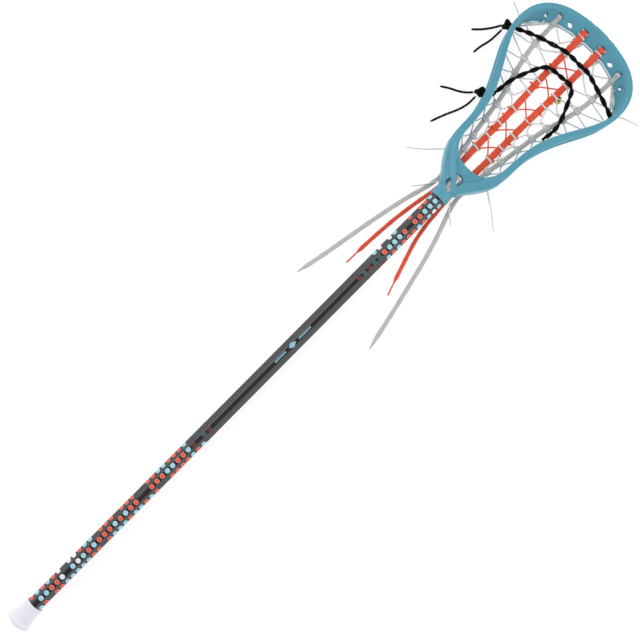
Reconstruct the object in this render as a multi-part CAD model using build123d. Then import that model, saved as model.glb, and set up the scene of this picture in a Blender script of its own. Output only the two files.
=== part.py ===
from build123d import *
import os
from math import radians, tan

# A women's lacrosse stick lying on its back, open face of the pocket up.
# Frame, in millimetres: the origin is on the shaft's axis at the flat butt face, +X runs along the
# shaft to the scoop, +Z points out of the open face, and +Y is the left side seen from above.

# ---------------------------------------------------------------- driving dimensions
SCOOP_TIP = 1075.0            # overall length
REST_PLANE = -16.6            # lowest level of the end cap's rim and of the head's bottom rails

SHAFT_WIDTH = 20.0            # across the side facets, along Y
SHAFT_HEIGHT = 22.0           # across the front and back facets, along Z
SHAFT_FRONT_FACET = 6.2
SHAFT_SIDE_FACET = 8.6
SHAFT_WALL = 1.4
SHAFT_START = 6.0
SHAFT_END = 806.0

CAP_LENGTH = 36.0
CAP_MOUTH_RADIUS = 12.5
CAP_DOME_RADIUS = 15.7        # where the domed face meets the rounded rim
CAP_DOME_RISE = 5.2
CAP_CLEARANCE = 0.12

SOCKET_START = 767.0
SOCKET_LENGTH = 34.0
SOCKET_WALL = 2.6
SOCKET_CLEARANCE = 0.1
RAIL_TOP = 15.0
GROOVE_DEPTH = 5.6
GROOVE_BOTTOM = -9.5
GROOVE_TOP = 8.5

SCREW_X = 778.0
SCREW_SHANK_RADIUS = 1.9
SCREW_HEAD_RADIUS = 3.6
SCREW_HEAD_HEIGHT = 2.2
SCREW_LENGTH = 8.0

STRAP_THICKNESS = 2.2
INNER_STRAP_WIDTH = 9.0
OUTER_STRAP_WIDTH = 6.4
LACE_DIAMETER = 1.8
CENTRE_LACE_DIAMETER = 2.0
SHOOTING_STRING_DIAMETER = 4.4
SHOOTING_TAIL_DIAMETER = 3.0
OUTER_TAIL_DIAMETER = 4.0
INNER_TAIL_DIAMETER = 3.5

# Left half of each outline, from the throat to the scoop's tip on the centre line.
OUTER_TOP = [
    (784, 13.5), (804, 27.5), (829, 42.2), (869, 46.1), (908, 53.6), (948, 71.3),
    (981, 87.5), (1012, 93.0), (1040, 86.5), (1060, 67.0), (1071, 38.0), (SCOOP_TIP, 0),
]
OUTER_BOTTOM = [
    (784, 13.5), (804, 27.5), (829, 42.2), (869, 46.1), (908, 53.6), (948, 71.3),
    (978, 86.0), (1005, 91.5), (1028, 83.0), (1042, 63.0), (1050, 36.0), (1053, 0),
]
INNER_TOP = [
    (822, 0), (823.4, 12.5), (829.8, 25.6), (843, 33.6), (869, 36.7), (908, 42.4), (948, 60.4),
    (981, 78.5), (1010, 86.8), (1034, 81.5), (1054, 62.5), (1066, 38.0), (1071.5, 0),
]
INNER_BOTTOM = [
    (822, 0), (823.4, 12.5), (829.8, 25.6), (843, 33.6), (869, 36.7), (908, 42.4), (948, 60.4),
    (978, 77.0), (1002, 84.8), (1022, 78.0), (1036, 59.0), (1044.5, 32.0), (1048, 0),
]

# Plan of the throat's openings, with the strut left standing between the shelf and the lower window.
LOWER_WINDOW = [(797.5, 8.4), (790.5, 0.9), (782.2, -5.2), (779.8, -1.6), (788.7, 8.8)]
UPPER_WINDOW = [(807.5, 4.2), (808, -1.3), (806.6, -6.8), (800.5, -8.4), (793, -5.6), (796, -3.9), (803, 1.8)]
SHELF = [(792.5, -6.8), (803, -9.9), (811, -14.8), (819, -23.0), (834, -27), (834, 25), (819, 18.6), (795.5, -4.2)]
SHELF_LEVEL = 8.8

# Side view of the head, X then Z.
HEAD_TOP_EDGE = [(760, 13.0), (800, 13.0), (850, 14.2), (930, 15.0), (1010, 15.0), (1080, 14.0)]
HEAD_BOTTOM_EDGE = [
    (1080, -10.5), (1040, -10.5), (1015, -12.6), (990, -16.6), (858, -16.6), (838, -13.2), (760, -13.0),
]

# Centre lines of the leather thongs, X then Y, for the left side.
INNER_STRAP_LINE = [(800, 11.0), (836, 11.7), (877, 12.3), (925, 12.6), (985, 15.0), (1066, 16.0)]
OUTER_STRAP_LINE = [
    (800, 19.6), (836, 21.0), (868, 26.5), (914, 33.0), (942, 37.5), (968, 47.0), (1005, 53.0), (1060, 54.5),
]
STRAP_POCKET_LEVEL = -13.3

KNOT_X = [1009, 985, 963, 939, 915, 891, 863, 841]
BAND_X = [1026, 997, 977, 957, 927, 900, 877, 854]
WALL_X = [1018, 997, 974, 951, 927, 903, 877, 852]
CROSS_X = [1013, 978, 937, 899, 865]

# Routes of the strings, X, Y, Z.
UPPER_STRING = [
    (998.5, 92.8, -4.2), (1001.5, 86, -3.6), (1009, 72, -4.0), (1017, 54, -5.0), (1022, 37, -5.4),
    (1027, 22, -5.5), (1029, 7, -5.5), (1028, -9, -5.5), (1030, -21, -5.5), (1025, -38, -5.4),
    (1019, -55, -5.0), (1013, -73, -4.0), (1006, -88, -3.6),
]
LOWER_STRING = [
    (909.5, 56.2, -5.0), (914, 46.2, -4.2), (928, 43.6, -4.8), (942, 42.8, -5.6), (953, 40, -5.8),
    (965, 36, -5.8), (977, 31, -5.8), (989, 25.5, -5.8), (997.5, 18, -5.7), (999, 6, -5.6),
    (999.5, -7, -5.6), (1001.5, -17, -5.6), (997, -26, -5.7), (986, -31, -5.8), (974, -36.5, -5.8),
    (962, -41.5, -5.8), (950, -45.4, -5.7), (936, -46.2, -5.2), (920, -43.0, -4.2),
]
STRING_HOLES = [(1000, 89, -4.0), (912, 51.5, -4.6), (1005, -89, -3.6), (917, -48, -4.2)]
KNOTS = {
    "shooting_knot_upper": (997.0, 97.0, -5.0, 12.0),
    "shooting_knot_lower": (908.5, 60.0, -6.0, -24.0),
}
KNOT_SIZE = (14.0, 8.0, 8.0)

FREE_CORDS = {
    "shooting_tail_upper_1": (SHOOTING_TAIL_DIAMETER, [
        (994, 101, -7.5), (987, 105.5, -11.5), (979, 112, -14.4), (971, 118.5, -15.0), (963, 127, -15.0),
    ]),
    "shooting_tail_upper_2": (SHOOTING_TAIL_DIAMETER, [
        (990, 97, -8.0), (981, 97.5, -12.6), (968, 98.5, -15.0), (954, 102.5, -15.0), (943, 103, -15.0),
    ]),
    "shooting_tail_lower_1": (SHOOTING_TAIL_DIAMETER, [
        (903.5, 65, -8.5), (898.5, 70.5, -12.6), (892, 80, -15.0), (886, 93, -15.0), (879, 103, -15.0),
    ]),
    "shooting_tail_lower_2": (SHOOTING_TAIL_DIAMETER, [
        (902, 59.5, -9.0), (891, 59, -13.2), (875, 63, -15.0), (855, 72.5, -15.0), (836, 79, -15.0),
    ]),
    "thong_tail_outer_left": (OUTER_TAIL_DIAMETER, [
        (806, 18.6, -10.6), (793, 17.5, -13.6), (773, 21, -14.6), (740, 30.5, -14.6), (702, 38.5, -14.6),
        (659, 46.3, -14.6), (614.5, 53.8, -14.6), (571, 62.8, -14.6),
    ]),
    "thong_tail_outer_right": (OUTER_TAIL_DIAMETER, [
        (806, -18.6, -10.6), (793, -17.8, -13.6), (774, -20.5, -14.6), (745, -31.5, -14.6),
        (706, -43.5, -14.6), (661, -54.2, -14.6), (613, -65.4, -14.6), (565.5, -75.2, -14.6),
    ]),
    "thong_tail_inner_left": (INNER_TAIL_DIAMETER, [
        (806, 12.6, -10.6), (793, 9.8, -13.4), (777, 10.6, -14.85), (746, 16.5, -14.85),
        (712, 21.5, -14.85), (678, 24, -14.85), (649, 25.6, -14.85), (625.5, 26, -14.85),
    ]),
    "thong_tail_inner_right": (INNER_TAIL_DIAMETER, [
        (806, -12.6, -10.6), (793, -9.8, -13.4), (775, -10.6, -14.85), (741, -12.8, -14.85),
        (711, -17.5, -14.85), (680, -27.5, -14.85), (654, -35.7, -14.85), (633, -43, -14.85),
    ]),
    "lace_tail_throat_left": (LACE_DIAMETER, [
        (829, 35, -14.2), (818, 46, -15.5), (806, 57, -15.7), (796, 69, -15.7), (788, 79, -15.7),
    ]),
    "lace_tail_throat_right": (LACE_DIAMETER, [
        (829, -34, -14.2), (820, -45, -15.5), (811, -60, -15.7), (800, -73, -15.7), (791, -84, -15.7),
    ]),
    "lace_tail_socket_left": (LACE_DIAMETER, [
        (786, 15.8, -9.2), (779, 20.2, -10.9), (771, 25.6, -13.6), (764, 31, -15.5), (757.5, 37, -15.7),
    ]),
    "lace_tail_socket_right": (LACE_DIAMETER, [
        (778, -14.6, -8.5), (771.5, -19.7, -10.4), (766, -25.4, -11.5), (761, -31.8, -14.6),
        (757, -38.2, -15.7),
    ]),
    "lace_tail_scoop_left": (LACE_DIAMETER, [
        (1012, 84, -13.8), (1018.5, 90.5, -15.4), (1024, 98, -15.7), (1028, 107, -15.7), (1030, 114, -15.7),
    ]),
    "lace_tail_scoop_right": (LACE_DIAMETER, [
        (1012, -84, -13.8), (1018, -92, -15.4), (1023, -101, -15.7), (1026.5, -112, -15.7),
        (1030, -122, -15.7),
    ]),
}
FREE_BEND_SHARE = 0.45        # share of the shorter neighbouring run that each bend takes up


# ---------------------------------------------------------------- shared helpers
def save(node, shape):
    """Name the shape and write it as one STEP file."""
    shape.label = node
    export_step(shape, os.path.join("parts", f"{node}.step"))


def octagon(grow=0.0):
    """Section of the shaft across X, grown outwards by the given amount."""
    half_y = SHAFT_WIDTH / 2 + grow
    half_z = SHAFT_HEIGHT / 2 + grow
    corner = grow * tan(radians(22.5))
    flat_y = SHAFT_FRONT_FACET / 2 + corner
    flat_z = SHAFT_SIDE_FACET / 2 + corner
    quarter = [(half_y, flat_z), (flat_y, half_z)]
    points = quarter + [(-y, z) for y, z in reversed(quarter)]
    points += [(-y, -z) for y, z in quarter] + [(y, -z) for y, z in reversed(quarter)]
    return Plane.YZ * make_face(Polyline(*points, close=True))


def prism(start, end, grow=0.0):
    """Solid of the octagon section from one X to another."""
    return Pos(start, 0, 0) * extrude(octagon(grow), amount=end - start, dir=(1, 0, 0))


def outline_face(half, level):
    """Closed face at one level, from the left half of its outline and the mirrored right half."""
    if half[0][1] == 0:
        points = half + [(x, -y) for x, y in reversed(half[1:-1])]
        return make_face(Spline(*[(x, y, level) for x, y in points], periodic=True))
    points = half + [(x, -y) for x, y in reversed(half[:-1])]
    curve = Spline(*[(x, y, level) for x, y in points])
    return make_face([curve, Line(curve @ 1, curve @ 0)])


def tub(top, bottom):
    """Solid between the bottom outline at the rest plane and the top outline at the rail's top."""
    return loft([outline_face(bottom, REST_PLANE), outline_face(top, RAIL_TOP)], ruled=True)


def slab(x_low, x_high, half_y, z_low, z_high):
    """Box centred on the middle plane."""
    box = Box(x_high - x_low, 2 * half_y, z_high - z_low)
    return Pos((x_low + x_high) / 2, 0, (z_low + z_high) / 2) * box


def rail_y(outline, x):
    """Half width of an outline at one X, straight between its points."""
    for (x0, y0), (x1, y1) in zip(outline, outline[1:]):
        if x0 <= x <= x1:
            return y0 + (y1 - y0) * (x - x0) / (x1 - x0)
    return outline[-1][1]


def tube(points, radii, diameter):
    """Round tube along straight runs joined by arcs."""
    path = FilletPolyline(*points, radius=radii)
    section = Plane(origin=path @ 0, z_dir=path % 0) * Circle(diameter / 2)
    return sweep(section, path=path)


def run_vectors(points):
    """Straight runs between the points of a route."""
    return [Vector(*b) - Vector(*a) for a, b in zip(points, points[1:])]


def bend_radii(points, share, largest=1e6):
    """Radius at each inner point, so that an arc takes up the given share of its shorter run."""
    runs = run_vectors(points)
    radii = []
    for before, after in zip(runs, runs[1:]):
        turn = radians(before.get_angle(after))
        shorter = min(before.length, after.length)
        radii.append(round(min(share * shorter / tan(turn / 2), largest), 3))
    return radii


# ---------------------------------------------------------------- shaft, cap and screw
def build_shaft():
    """Hollow eight-sided tube with the screw's pilot hole in its back facet."""
    tube_body = prism(SHAFT_START, SHAFT_END) - prism(SHAFT_START - 1, SHAFT_END + 1, -SHAFT_WALL)
    pilot = Pos(SCREW_X, 0, -SHAFT_HEIGHT / 2) * Cylinder(SCREW_SHANK_RADIUS + 0.05, 8)
    return tube_body - pilot


def build_end_cap():
    """Flared rubber cap that pulls over the butt."""
    flare = abs(REST_PLANE)
    profile = Polyline((CAP_LENGTH, 0), (CAP_LENGTH, CAP_MOUTH_RADIUS))
    profile += Spline(
        (CAP_LENGTH, CAP_MOUTH_RADIUS), (27, CAP_MOUTH_RADIUS + 0.1), (17.5, 13.7), (9.2, flare - 0.7),
        tangents=[(-1, 0), (-0.75, 0.65)],
    )
    profile += ThreePointArc((9.2, flare - 0.7), (7.2, flare - 0.01), (CAP_DOME_RISE, CAP_DOME_RADIUS))
    profile += ThreePointArc((CAP_DOME_RISE, CAP_DOME_RADIUS), (1.4, 8.5), (0, 2.5))
    profile += Polyline((0, 2.5), (0, 0), (CAP_LENGTH, 0))
    body = revolve(make_face(profile), axis=Axis.X)
    bore = prism(SHAFT_START - 0.2, CAP_LENGTH + 1, CAP_CLEARANCE)
    return body - bore


def build_screw():
    """Pan-head screw that pins the head to the shaft from the back."""
    seat = -SHAFT_HEIGHT / 2 - SOCKET_WALL
    head = Pos(SCREW_X, 0, seat + 0.6 - SCREW_HEAD_HEIGHT / 2) * Cylinder(SCREW_HEAD_RADIUS, SCREW_HEAD_HEIGHT)
    head = fillet(head.edges().sort_by(Axis.Z)[:1], 0.7)
    shank_top = seat + SCREW_LENGTH
    shank_middle = (shank_top + seat) / 2
    shank = Pos(SCREW_X, 0, shank_middle) * Cylinder(SCREW_SHANK_RADIUS, shank_top - seat)
    slot_level = seat + 0.6 - SCREW_HEAD_HEIGHT
    cross = Box(4.4, 0.9, 2.0) + Box(0.9, 4.4, 2.0)
    return head + shank - Pos(SCREW_X, 0, slot_level) * cross


# ---------------------------------------------------------------- head
def side_profile():
    """Everything between the head's top and bottom edges, seen from the side."""
    top = Spline(*[(x, 0, z) for x, z in HEAD_TOP_EDGE])
    bottom = Polyline(*[(x, 0, z) for x, z in HEAD_BOTTOM_EDGE])
    ends = [Line(top @ 1, bottom @ 0), Line(bottom @ 1, top @ 0)]
    face = make_face([top, bottom] + ends)
    return extrude(face, amount=120, both=True)


def wall_grooves():
    """Outside grooves that thin the side walls between the top and bottom rails."""
    inset = [(x, y - GROOVE_DEPTH) for x, y in OUTER_TOP[2:7]]
    outside = [(x, y + 20) for x, y in reversed(inset)]
    plan = make_face(Polyline(*inset, *outside, close=True))
    groove = Pos(0, 0, GROOVE_BOTTOM) * extrude(plan, amount=GROOVE_TOP - GROOVE_BOTTOM)
    return groove + mirror(groove, Plane.XZ)


def wall_windows():
    """Long windows and round string holes through the thin walls."""
    cuts = []
    for x_low, x_high in ((858, 884), (892, 914), (924, 942), (952, 972)):
        cuts.append(Pos(0, 0, 1.5) * slab(x_low, x_high, 120, -4.5, 4.5))
    for x in WALL_X[:-1]:
        level = GROOVE_BOTTOM - 3.0 if x < 990 else -6.0
        cuts.append(Pos(x, 0, level) * Rot(90, 0, 0) * Cylinder(1.6, 260))
    return cuts


def scoop_cuts():
    """Oval string holes and thong slots through the sloping scoop."""
    cuts = []
    for side in (1, -1):
        for x, y, length, width in ((1042.5, 69, 3.8, 5.8), (1056, 37.2, 4.4, 8.6)):
            oval = Pos(x, side * y, -20) * extrude(Ellipse(length / 2, width / 2), amount=40)
            cuts.append(oval)
        for x, y, width in ((1062.2, 16.0, 11.0), (1053.0, 54.4, 8.4)):
            cuts.append(Pos(x, side * y, 0) * Box(3.6, width, 40))
    for x, y, z in STRING_HOLES:
        cuts.append(Pos(x, y, z) * Rot(90, 0, 0) * Cylinder(SHOOTING_STRING_DIAMETER / 2 + 0.5, 16))
    return cuts


def throat_cuts():
    """Windows and sunken shelf on top of the throat, and the thongs' recess and pockets below."""
    recess = slab(797.5, 829, 24.5, REST_PLANE - 1, -8.6)
    exits = slab(783, 798, 24.5, REST_PLANE - 1, -10.3) - slab(783, 798, 7.8, REST_PLANE - 1, 0)
    core = slab(808.5, 817.5, 22, -9, 4.2)
    outlines = [(LOWER_WINDOW, 5.0), (UPPER_WINDOW, 5.0), (SHELF, SHELF_LEVEL)]
    top_cuts = [
        Pos(0, 0, level) * extrude(make_face(Polyline(*outline, close=True)), amount=12)
        for outline, level in outlines
    ]
    corner = [(806, 15.5), (812, 15.5), (826, 30), (826, 36), (812, 28)]
    pocket = Pos(0, 0, -8) * extrude(make_face(Polyline(*corner, close=True)), amount=12)
    return [recess, exits, core] + top_cuts + [pocket, mirror(pocket, Plane.XZ)]


def build_head():
    """One moulded head: socket, throat, side walls and scoop."""
    ring = tub(OUTER_TOP, OUTER_BOTTOM) - tub(INNER_TOP, INNER_BOTTOM)
    socket_grow = SOCKET_WALL + SOCKET_CLEARANCE - 0.1
    ring += prism(SOCKET_START, SOCKET_START + SOCKET_LENGTH, socket_grow)
    ring = ring & side_profile()
    ring -= wall_grooves()
    for cut in wall_windows() + scoop_cuts() + throat_cuts():
        ring -= cut
    ring -= prism(SOCKET_START - 1, SHAFT_END + 0.3, SOCKET_CLEARANCE)
    back = Pos(SCREW_X, 0, -SHAFT_HEIGHT / 2 - SOCKET_WALL)
    ring -= back * Cylinder(SCREW_SHANK_RADIUS + 0.1, 8)
    ring -= back * Pos(0, 0, -0.4) * Cylinder(SCREW_HEAD_RADIUS + 0.3, 2)
    return ring


# ---------------------------------------------------------------- leather thongs
def strap_plan(line, width):
    """Plan of a strap: its centre line widened across Y."""
    left = Spline(*[(x, y + width / 2) for x, y in line])
    right = Spline(*[(x, y - width / 2) for x, y in line])
    ends = [Line(left @ 0, right @ 0), Line(left @ 1, right @ 1)]
    return make_face([left, right] + ends)


def strap_profile(slot_x, slot_z, foot_x):
    """Side view of a strap: flat in the pocket, up the scoop and down through its slot."""
    half = STRAP_THICKNESS / 2
    low = STRAP_POCKET_LEVEL - half
    under = [
        (806, -11.8), (836, -11.8), (870, low), (985, low), (1020, -12.6), (foot_x, -9.4),
        (slot_x - half, slot_z), (slot_x - half, slot_z - 9),
    ]
    over = [
        (slot_x + half, slot_z - 9), (slot_x + half, slot_z + 2), (slot_x - 0.4, slot_z + 3),
        (foot_x - 0.6, -6.4), (1020, -10.4), (985, low + 2 * half), (870, low + 2 * half),
        (836, -9.4), (806, -9.4),
    ]
    outline = Polyline(*[(x, 0, z) for x, z in under + over], close=True)
    return extrude(make_face(outline), amount=80, both=True)


def build_strap(line, width, slot_x, slot_z, foot_x):
    """One leather thong of the left side."""
    plan = Pos(0, 0, -30) * extrude(strap_plan(line, width), amount=60)
    return plan & strap_profile(slot_x, slot_z, foot_x)


# ---------------------------------------------------------------- lacing
def strap_level(x):
    """Level of a lace that lies on the straps at one X."""
    on_top = STRAP_THICKNESS / 2 + LACE_DIAMETER / 2 + 0.05
    rise = max(0.0, (860 - x) / 24 * 2.6) + max(0.0, (x - 990) / 36 * 2.6)
    return STRAP_POCKET_LEVEL + on_top + min(rise, 3.4)


def lace_route(outer_first, inner_first):
    """Join two rows of points alternately, starting with the second row."""
    return [point for pair in zip(inner_first, outer_first) for point in pair]


def build_cross_lace():
    """Zigzag between the bands round the inner thong and the knots on the outer thong."""
    bands = [(x, rail_y(INNER_STRAP_LINE, x) - 2.6, strap_level(x)) for x in BAND_X]
    knots = [(x, rail_y(OUTER_STRAP_LINE, x) + 1.6, strap_level(x)) for x in KNOT_X]
    points = lace_route(knots, bands)
    return tube(points, bend_radii(points, 0.3, 1.6), LACE_DIAMETER)


def build_sidewall_lace():
    """Zigzag between the knots on the outer thong and the holes in the side wall."""
    walls = []
    for x in WALL_X:
        walls.append((x, rail_y(INNER_BOTTOM, x) - 0.4, GROOVE_BOTTOM - 3.0 if x < 990 else -7.5))
    knots = [(x - 2.5, rail_y(OUTER_STRAP_LINE, x) + 0.4, strap_level(x) + LACE_DIAMETER) for x in KNOT_X]
    points = [(1036.0, 64.5, -6.5)] + lace_route(knots, walls)
    return tube(points, bend_radii(points, 0.3, 1.6), LACE_DIAMETER)


def build_centre_lace():
    """Two strands that cross between the inner thongs and run along their edges in between."""
    strands = []
    for number, first_side in enumerate((1, -1)):
        side = first_side
        points = []
        for x in CROSS_X:
            level = strap_level(x) + 0.1 + number * (CENTRE_LACE_DIAMETER + 0.1)
            reach = rail_y(INNER_STRAP_LINE, x) - 3.0
            points.append((x + 7.5, side * reach, level))
            points.append((x - 7.5, -side * reach, level))
            side = -side
        strands.append(tube(points, bend_radii(points, 0.3, 1.6), CENTRE_LACE_DIAMETER))
    return Compound(strands)


def build_knot(x, y, z, turn):
    """Overhand knot as a rounded lump outside the wall."""
    lump = Pos(x, y, z) * Rot(0, 0, turn) * Box(*KNOT_SIZE)
    return fillet(lump.edges(), 3.0)


def build_string(points):
    """A pair of twisted strings, as one plain tube."""
    return tube(points, bend_radii(points, FREE_BEND_SHARE), SHOOTING_STRING_DIAMETER)


def build_free_cord(node, diameter, points):
    """A tail that hangs out of the head; its bend radii are printed."""
    radii = bend_radii(points, FREE_BEND_SHARE)
    print(node, "bend radii", [round(radius, 1) for radius in radii])
    return tube(points, radii, diameter)


# ---------------------------------------------------------------- whole stick
def main():
    """Build every piece and write its file."""
    os.makedirs("parts", exist_ok=True)
    save("shaft_tube", build_shaft())
    save("end_cap", build_end_cap())
    save("head_screw", build_screw())
    save("head_frame", build_head())
    pairs = {
        "thong_inner": build_strap(INNER_STRAP_LINE, INNER_STRAP_WIDTH, 1062.2, 3.2, 1051.0),
        "thong_outer": build_strap(OUTER_STRAP_LINE, OUTER_STRAP_WIDTH, 1053.0, 5.6, 1042.0),
        "cross_lace": build_cross_lace(),
        "sidewall_lace": build_sidewall_lace(),
    }
    for name, left in pairs.items():
        save(f"{name}_left", left)
        save(f"{name}_right", mirror(left, Plane.XZ))
    save("centre_lace", build_centre_lace())
    save("shooting_string_upper", build_string(UPPER_STRING))
    save("shooting_string_lower", build_string(LOWER_STRING))
    for name, (x, y, z, turn) in KNOTS.items():
        save(name, build_knot(x, y, z, turn))
    for name, (diameter, points) in FREE_CORDS.items():
        save(name, build_free_cord(name, diameter, points))


main()
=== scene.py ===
"""A women's lacrosse stick lying on its back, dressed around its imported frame."""

import logging
import math
import random
from collections.abc import Callable, Sequence
from dataclasses import dataclass
from enum import Enum

import bpy
from mathutils import Matrix, Vector


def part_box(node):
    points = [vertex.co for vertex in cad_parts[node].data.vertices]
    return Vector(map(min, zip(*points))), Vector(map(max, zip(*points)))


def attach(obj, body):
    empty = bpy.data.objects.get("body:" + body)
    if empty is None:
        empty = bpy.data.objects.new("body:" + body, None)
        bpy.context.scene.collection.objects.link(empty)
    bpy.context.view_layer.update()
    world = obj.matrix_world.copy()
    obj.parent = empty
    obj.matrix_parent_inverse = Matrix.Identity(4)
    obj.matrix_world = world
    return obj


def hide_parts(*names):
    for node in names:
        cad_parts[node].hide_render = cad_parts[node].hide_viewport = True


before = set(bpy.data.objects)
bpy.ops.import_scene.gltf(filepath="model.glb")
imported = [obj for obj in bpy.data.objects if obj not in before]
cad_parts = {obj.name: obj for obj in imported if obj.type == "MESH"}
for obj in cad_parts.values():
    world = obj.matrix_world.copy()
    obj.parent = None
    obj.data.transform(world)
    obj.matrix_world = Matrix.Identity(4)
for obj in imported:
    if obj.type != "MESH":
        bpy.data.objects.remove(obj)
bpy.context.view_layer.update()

LOG = logging.getLogger("lacrosse_stick")
MM = 0.001
FLOOR_LEVEL = -16.65 * MM
UP = Vector((0.0, 0.0, 1.0))

Point = tuple[float, float, float]
Colour = tuple[float, float, float]
Section = Callable[[float, float], list[tuple[float, float]]]


class Body(str, Enum):
    """The moving bodies that a piece can ride on."""

    STICK = "stick"
    CAP = "cap"
    SCREW = "screw"


class Slot(str, Enum):
    """The finishes that the record names."""

    HEAD = "head_plastic"
    SHAFT = "shaft_paint"
    CAP = "cap_rubber"
    SCREW = "screw_steel"
    GREY_LEATHER = "grey_leather"
    RED_LEATHER = "red_leather"
    RED_LACE = "red_lace"
    WHITE_LACE = "white_lace"
    BLACK_CORD = "black_cord"


class Spline(str, Enum):
    """How a curve treats the points of its route."""

    THROUGH = "BEZIER"
    NEAR = "NURBS"


# ---------------------------------------------------------------- node helpers
class NodeSheet:
    """Short calls for adding nodes to one tree and joining their sockets."""

    def __init__(self, tree: bpy.types.NodeTree) -> None:
        """Keep the tree that is being filled."""
        self.tree = tree

    def add(self, kind: str, values: dict | None = None, **settings: object) -> bpy.types.Node:
        """Add one node.

        Args:
            kind: Blender's name of the node.
            values: Input socket names or numbers with their plain values or source sockets.
            **settings: Properties of the node.

        Returns:
            The new node.
        """
        node = self.tree.nodes.new(kind)
        for name, value in settings.items():
            setattr(node, name, value)
        for key, value in (values or {}).items():
            if isinstance(value, bpy.types.NodeSocket):
                self.join(value, node.inputs[key])
            else:
                node.inputs[key].default_value = value
        return node

    def join(self, source: bpy.types.NodeSocket, target: bpy.types.NodeSocket) -> None:
        """Link one socket to another."""
        self.tree.links.new(source, target)

    def noise(
        self, vector: bpy.types.NodeSocket, scale: float, detail: float = 3.0
    ) -> bpy.types.NodeSocket:
        """Add a noise texture and return its value socket."""
        node = self.add("ShaderNodeTexNoise", {"Vector": vector, "Scale": scale, "Detail": detail})
        return node.outputs["Fac"]

    def ramp(
        self, value: bpy.types.NodeSocket, low: float, high: float, out: tuple[float, float] = (0.0, 1.0)
    ) -> bpy.types.NodeSocket:
        """Map a value from one range to another, clamped, and return the socket."""
        node = self.add(
            "ShaderNodeMapRange",
            {"Value": value, "From Min": low, "From Max": high, "To Min": out[0], "To Max": out[1]},
        )
        return node.outputs["Result"]

    def blend(
        self,
        share: bpy.types.NodeSocket | float,
        first: bpy.types.NodeSocket | Colour,
        second: bpy.types.NodeSocket | Colour,
    ) -> bpy.types.NodeSocket:
        """Mix two colours and return the colour socket."""
        node = self.add("ShaderNodeMix", data_type="RGBA")
        for number, value in ((0, share), (6, first), (7, second)):
            if isinstance(value, bpy.types.NodeSocket):
                self.join(value, node.inputs[number])
            else:
                node.inputs[number].default_value = (*value, 1.0) if number else value
        return node.outputs[2]

    def maths(self, operation: str, *values: bpy.types.NodeSocket | float) -> bpy.types.NodeSocket:
        """Add a math node and return its socket."""
        node = self.add("ShaderNodeMath", dict(enumerate(values)), operation=operation)
        return node.outputs[0]


@dataclass(frozen=True)
class Effect:
    """A shader effect kept as one node group, with its inputs and outputs by name."""

    name: str
    inputs: tuple[tuple[str, str], ...]
    outputs: tuple[tuple[str, str], ...]
    fill: Callable[[NodeSheet, bpy.types.Node, bpy.types.Node], None]

    def group(self) -> bpy.types.NodeTree:
        """Return the group, built the first time it is asked for."""
        tree = bpy.data.node_groups.get(self.name)
        if tree is None:
            tree = bpy.data.node_groups.new(self.name, "ShaderNodeTree")
            for names, side in ((self.inputs, "INPUT"), (self.outputs, "OUTPUT")):
                for name, kind in names:
                    tree.interface.new_socket(name, in_out=side, socket_type=kind)
            sheet = NodeSheet(tree)
            self.fill(sheet, sheet.add("NodeGroupInput"), sheet.add("NodeGroupOutput"))
        return tree

    def place(self, sheet: NodeSheet, values: dict) -> bpy.types.Node:
        """Put the group in a material with its own values and return its node."""
        node = sheet.add("ShaderNodeGroup", node_tree=self.group())
        for name, value in values.items():
            if isinstance(value, bpy.types.NodeSocket):
                sheet.join(value, node.inputs[name])
            else:
                node.inputs[name].default_value = value
        return node


def fill_mottle(sheet: NodeSheet, given: bpy.types.Node, made: bpy.types.Node) -> None:
    """Soft patches that shift one colour towards another."""
    broad = sheet.add(
        "ShaderNodeTexNoise", {
            "Vector": given.outputs["Vector"], "Scale": given.outputs["Scale"], "Detail": 4.0
        }
    )
    share = sheet.ramp(broad.outputs["Fac"], 0.32, 0.7)
    sheet.join(sheet.blend(share, given.outputs["Base"], given.outputs["Patch"]), made.inputs["Colour"])
    sheet.join(share, made.inputs["Mask"])


def fill_grain(sheet: NodeSheet, given: bpy.types.Node, made: bpy.types.Node) -> None:
    """Fine pebbled grain, as a height."""
    cells = sheet.add(
        "ShaderNodeTexVoronoi",
        {"Vector": given.outputs["Vector"], "Scale": given.outputs["Scale"]},
        feature="SMOOTH_F1",
    )
    fine = sheet.add(
        "ShaderNodeTexNoise", {
            "Vector": given.outputs["Vector"], "Scale": given.outputs["Scale"], "Detail": 6.0
        }
    )
    height = sheet.maths(
        "ADD", cells.outputs["Distance"], sheet.maths("MULTIPLY", fine.outputs["Fac"], 0.6)
    )
    sheet.join(height, made.inputs["Height"])
    sheet.join(sheet.ramp(height, 0.35, 0.95), made.inputs["Mask"])


def fill_wear(sheet: NodeSheet, given: bpy.types.Node, made: bpy.types.Node) -> None:
    """Rubbed edges: sharp outside corners, broken up by noise."""
    shape = sheet.add("ShaderNodeNewGeometry")
    edge = sheet.ramp(shape.outputs["Pointiness"], 0.52, 0.62)
    patch = sheet.add(
        "ShaderNodeTexNoise", {
            "Vector": given.outputs["Vector"], "Scale": given.outputs["Scale"], "Detail": 5.0
        }
    )
    broken = sheet.ramp(patch.outputs["Fac"], 0.42, 0.62)
    sheet.join(sheet.maths("MULTIPLY", edge, broken), made.inputs["Mask"])


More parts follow.
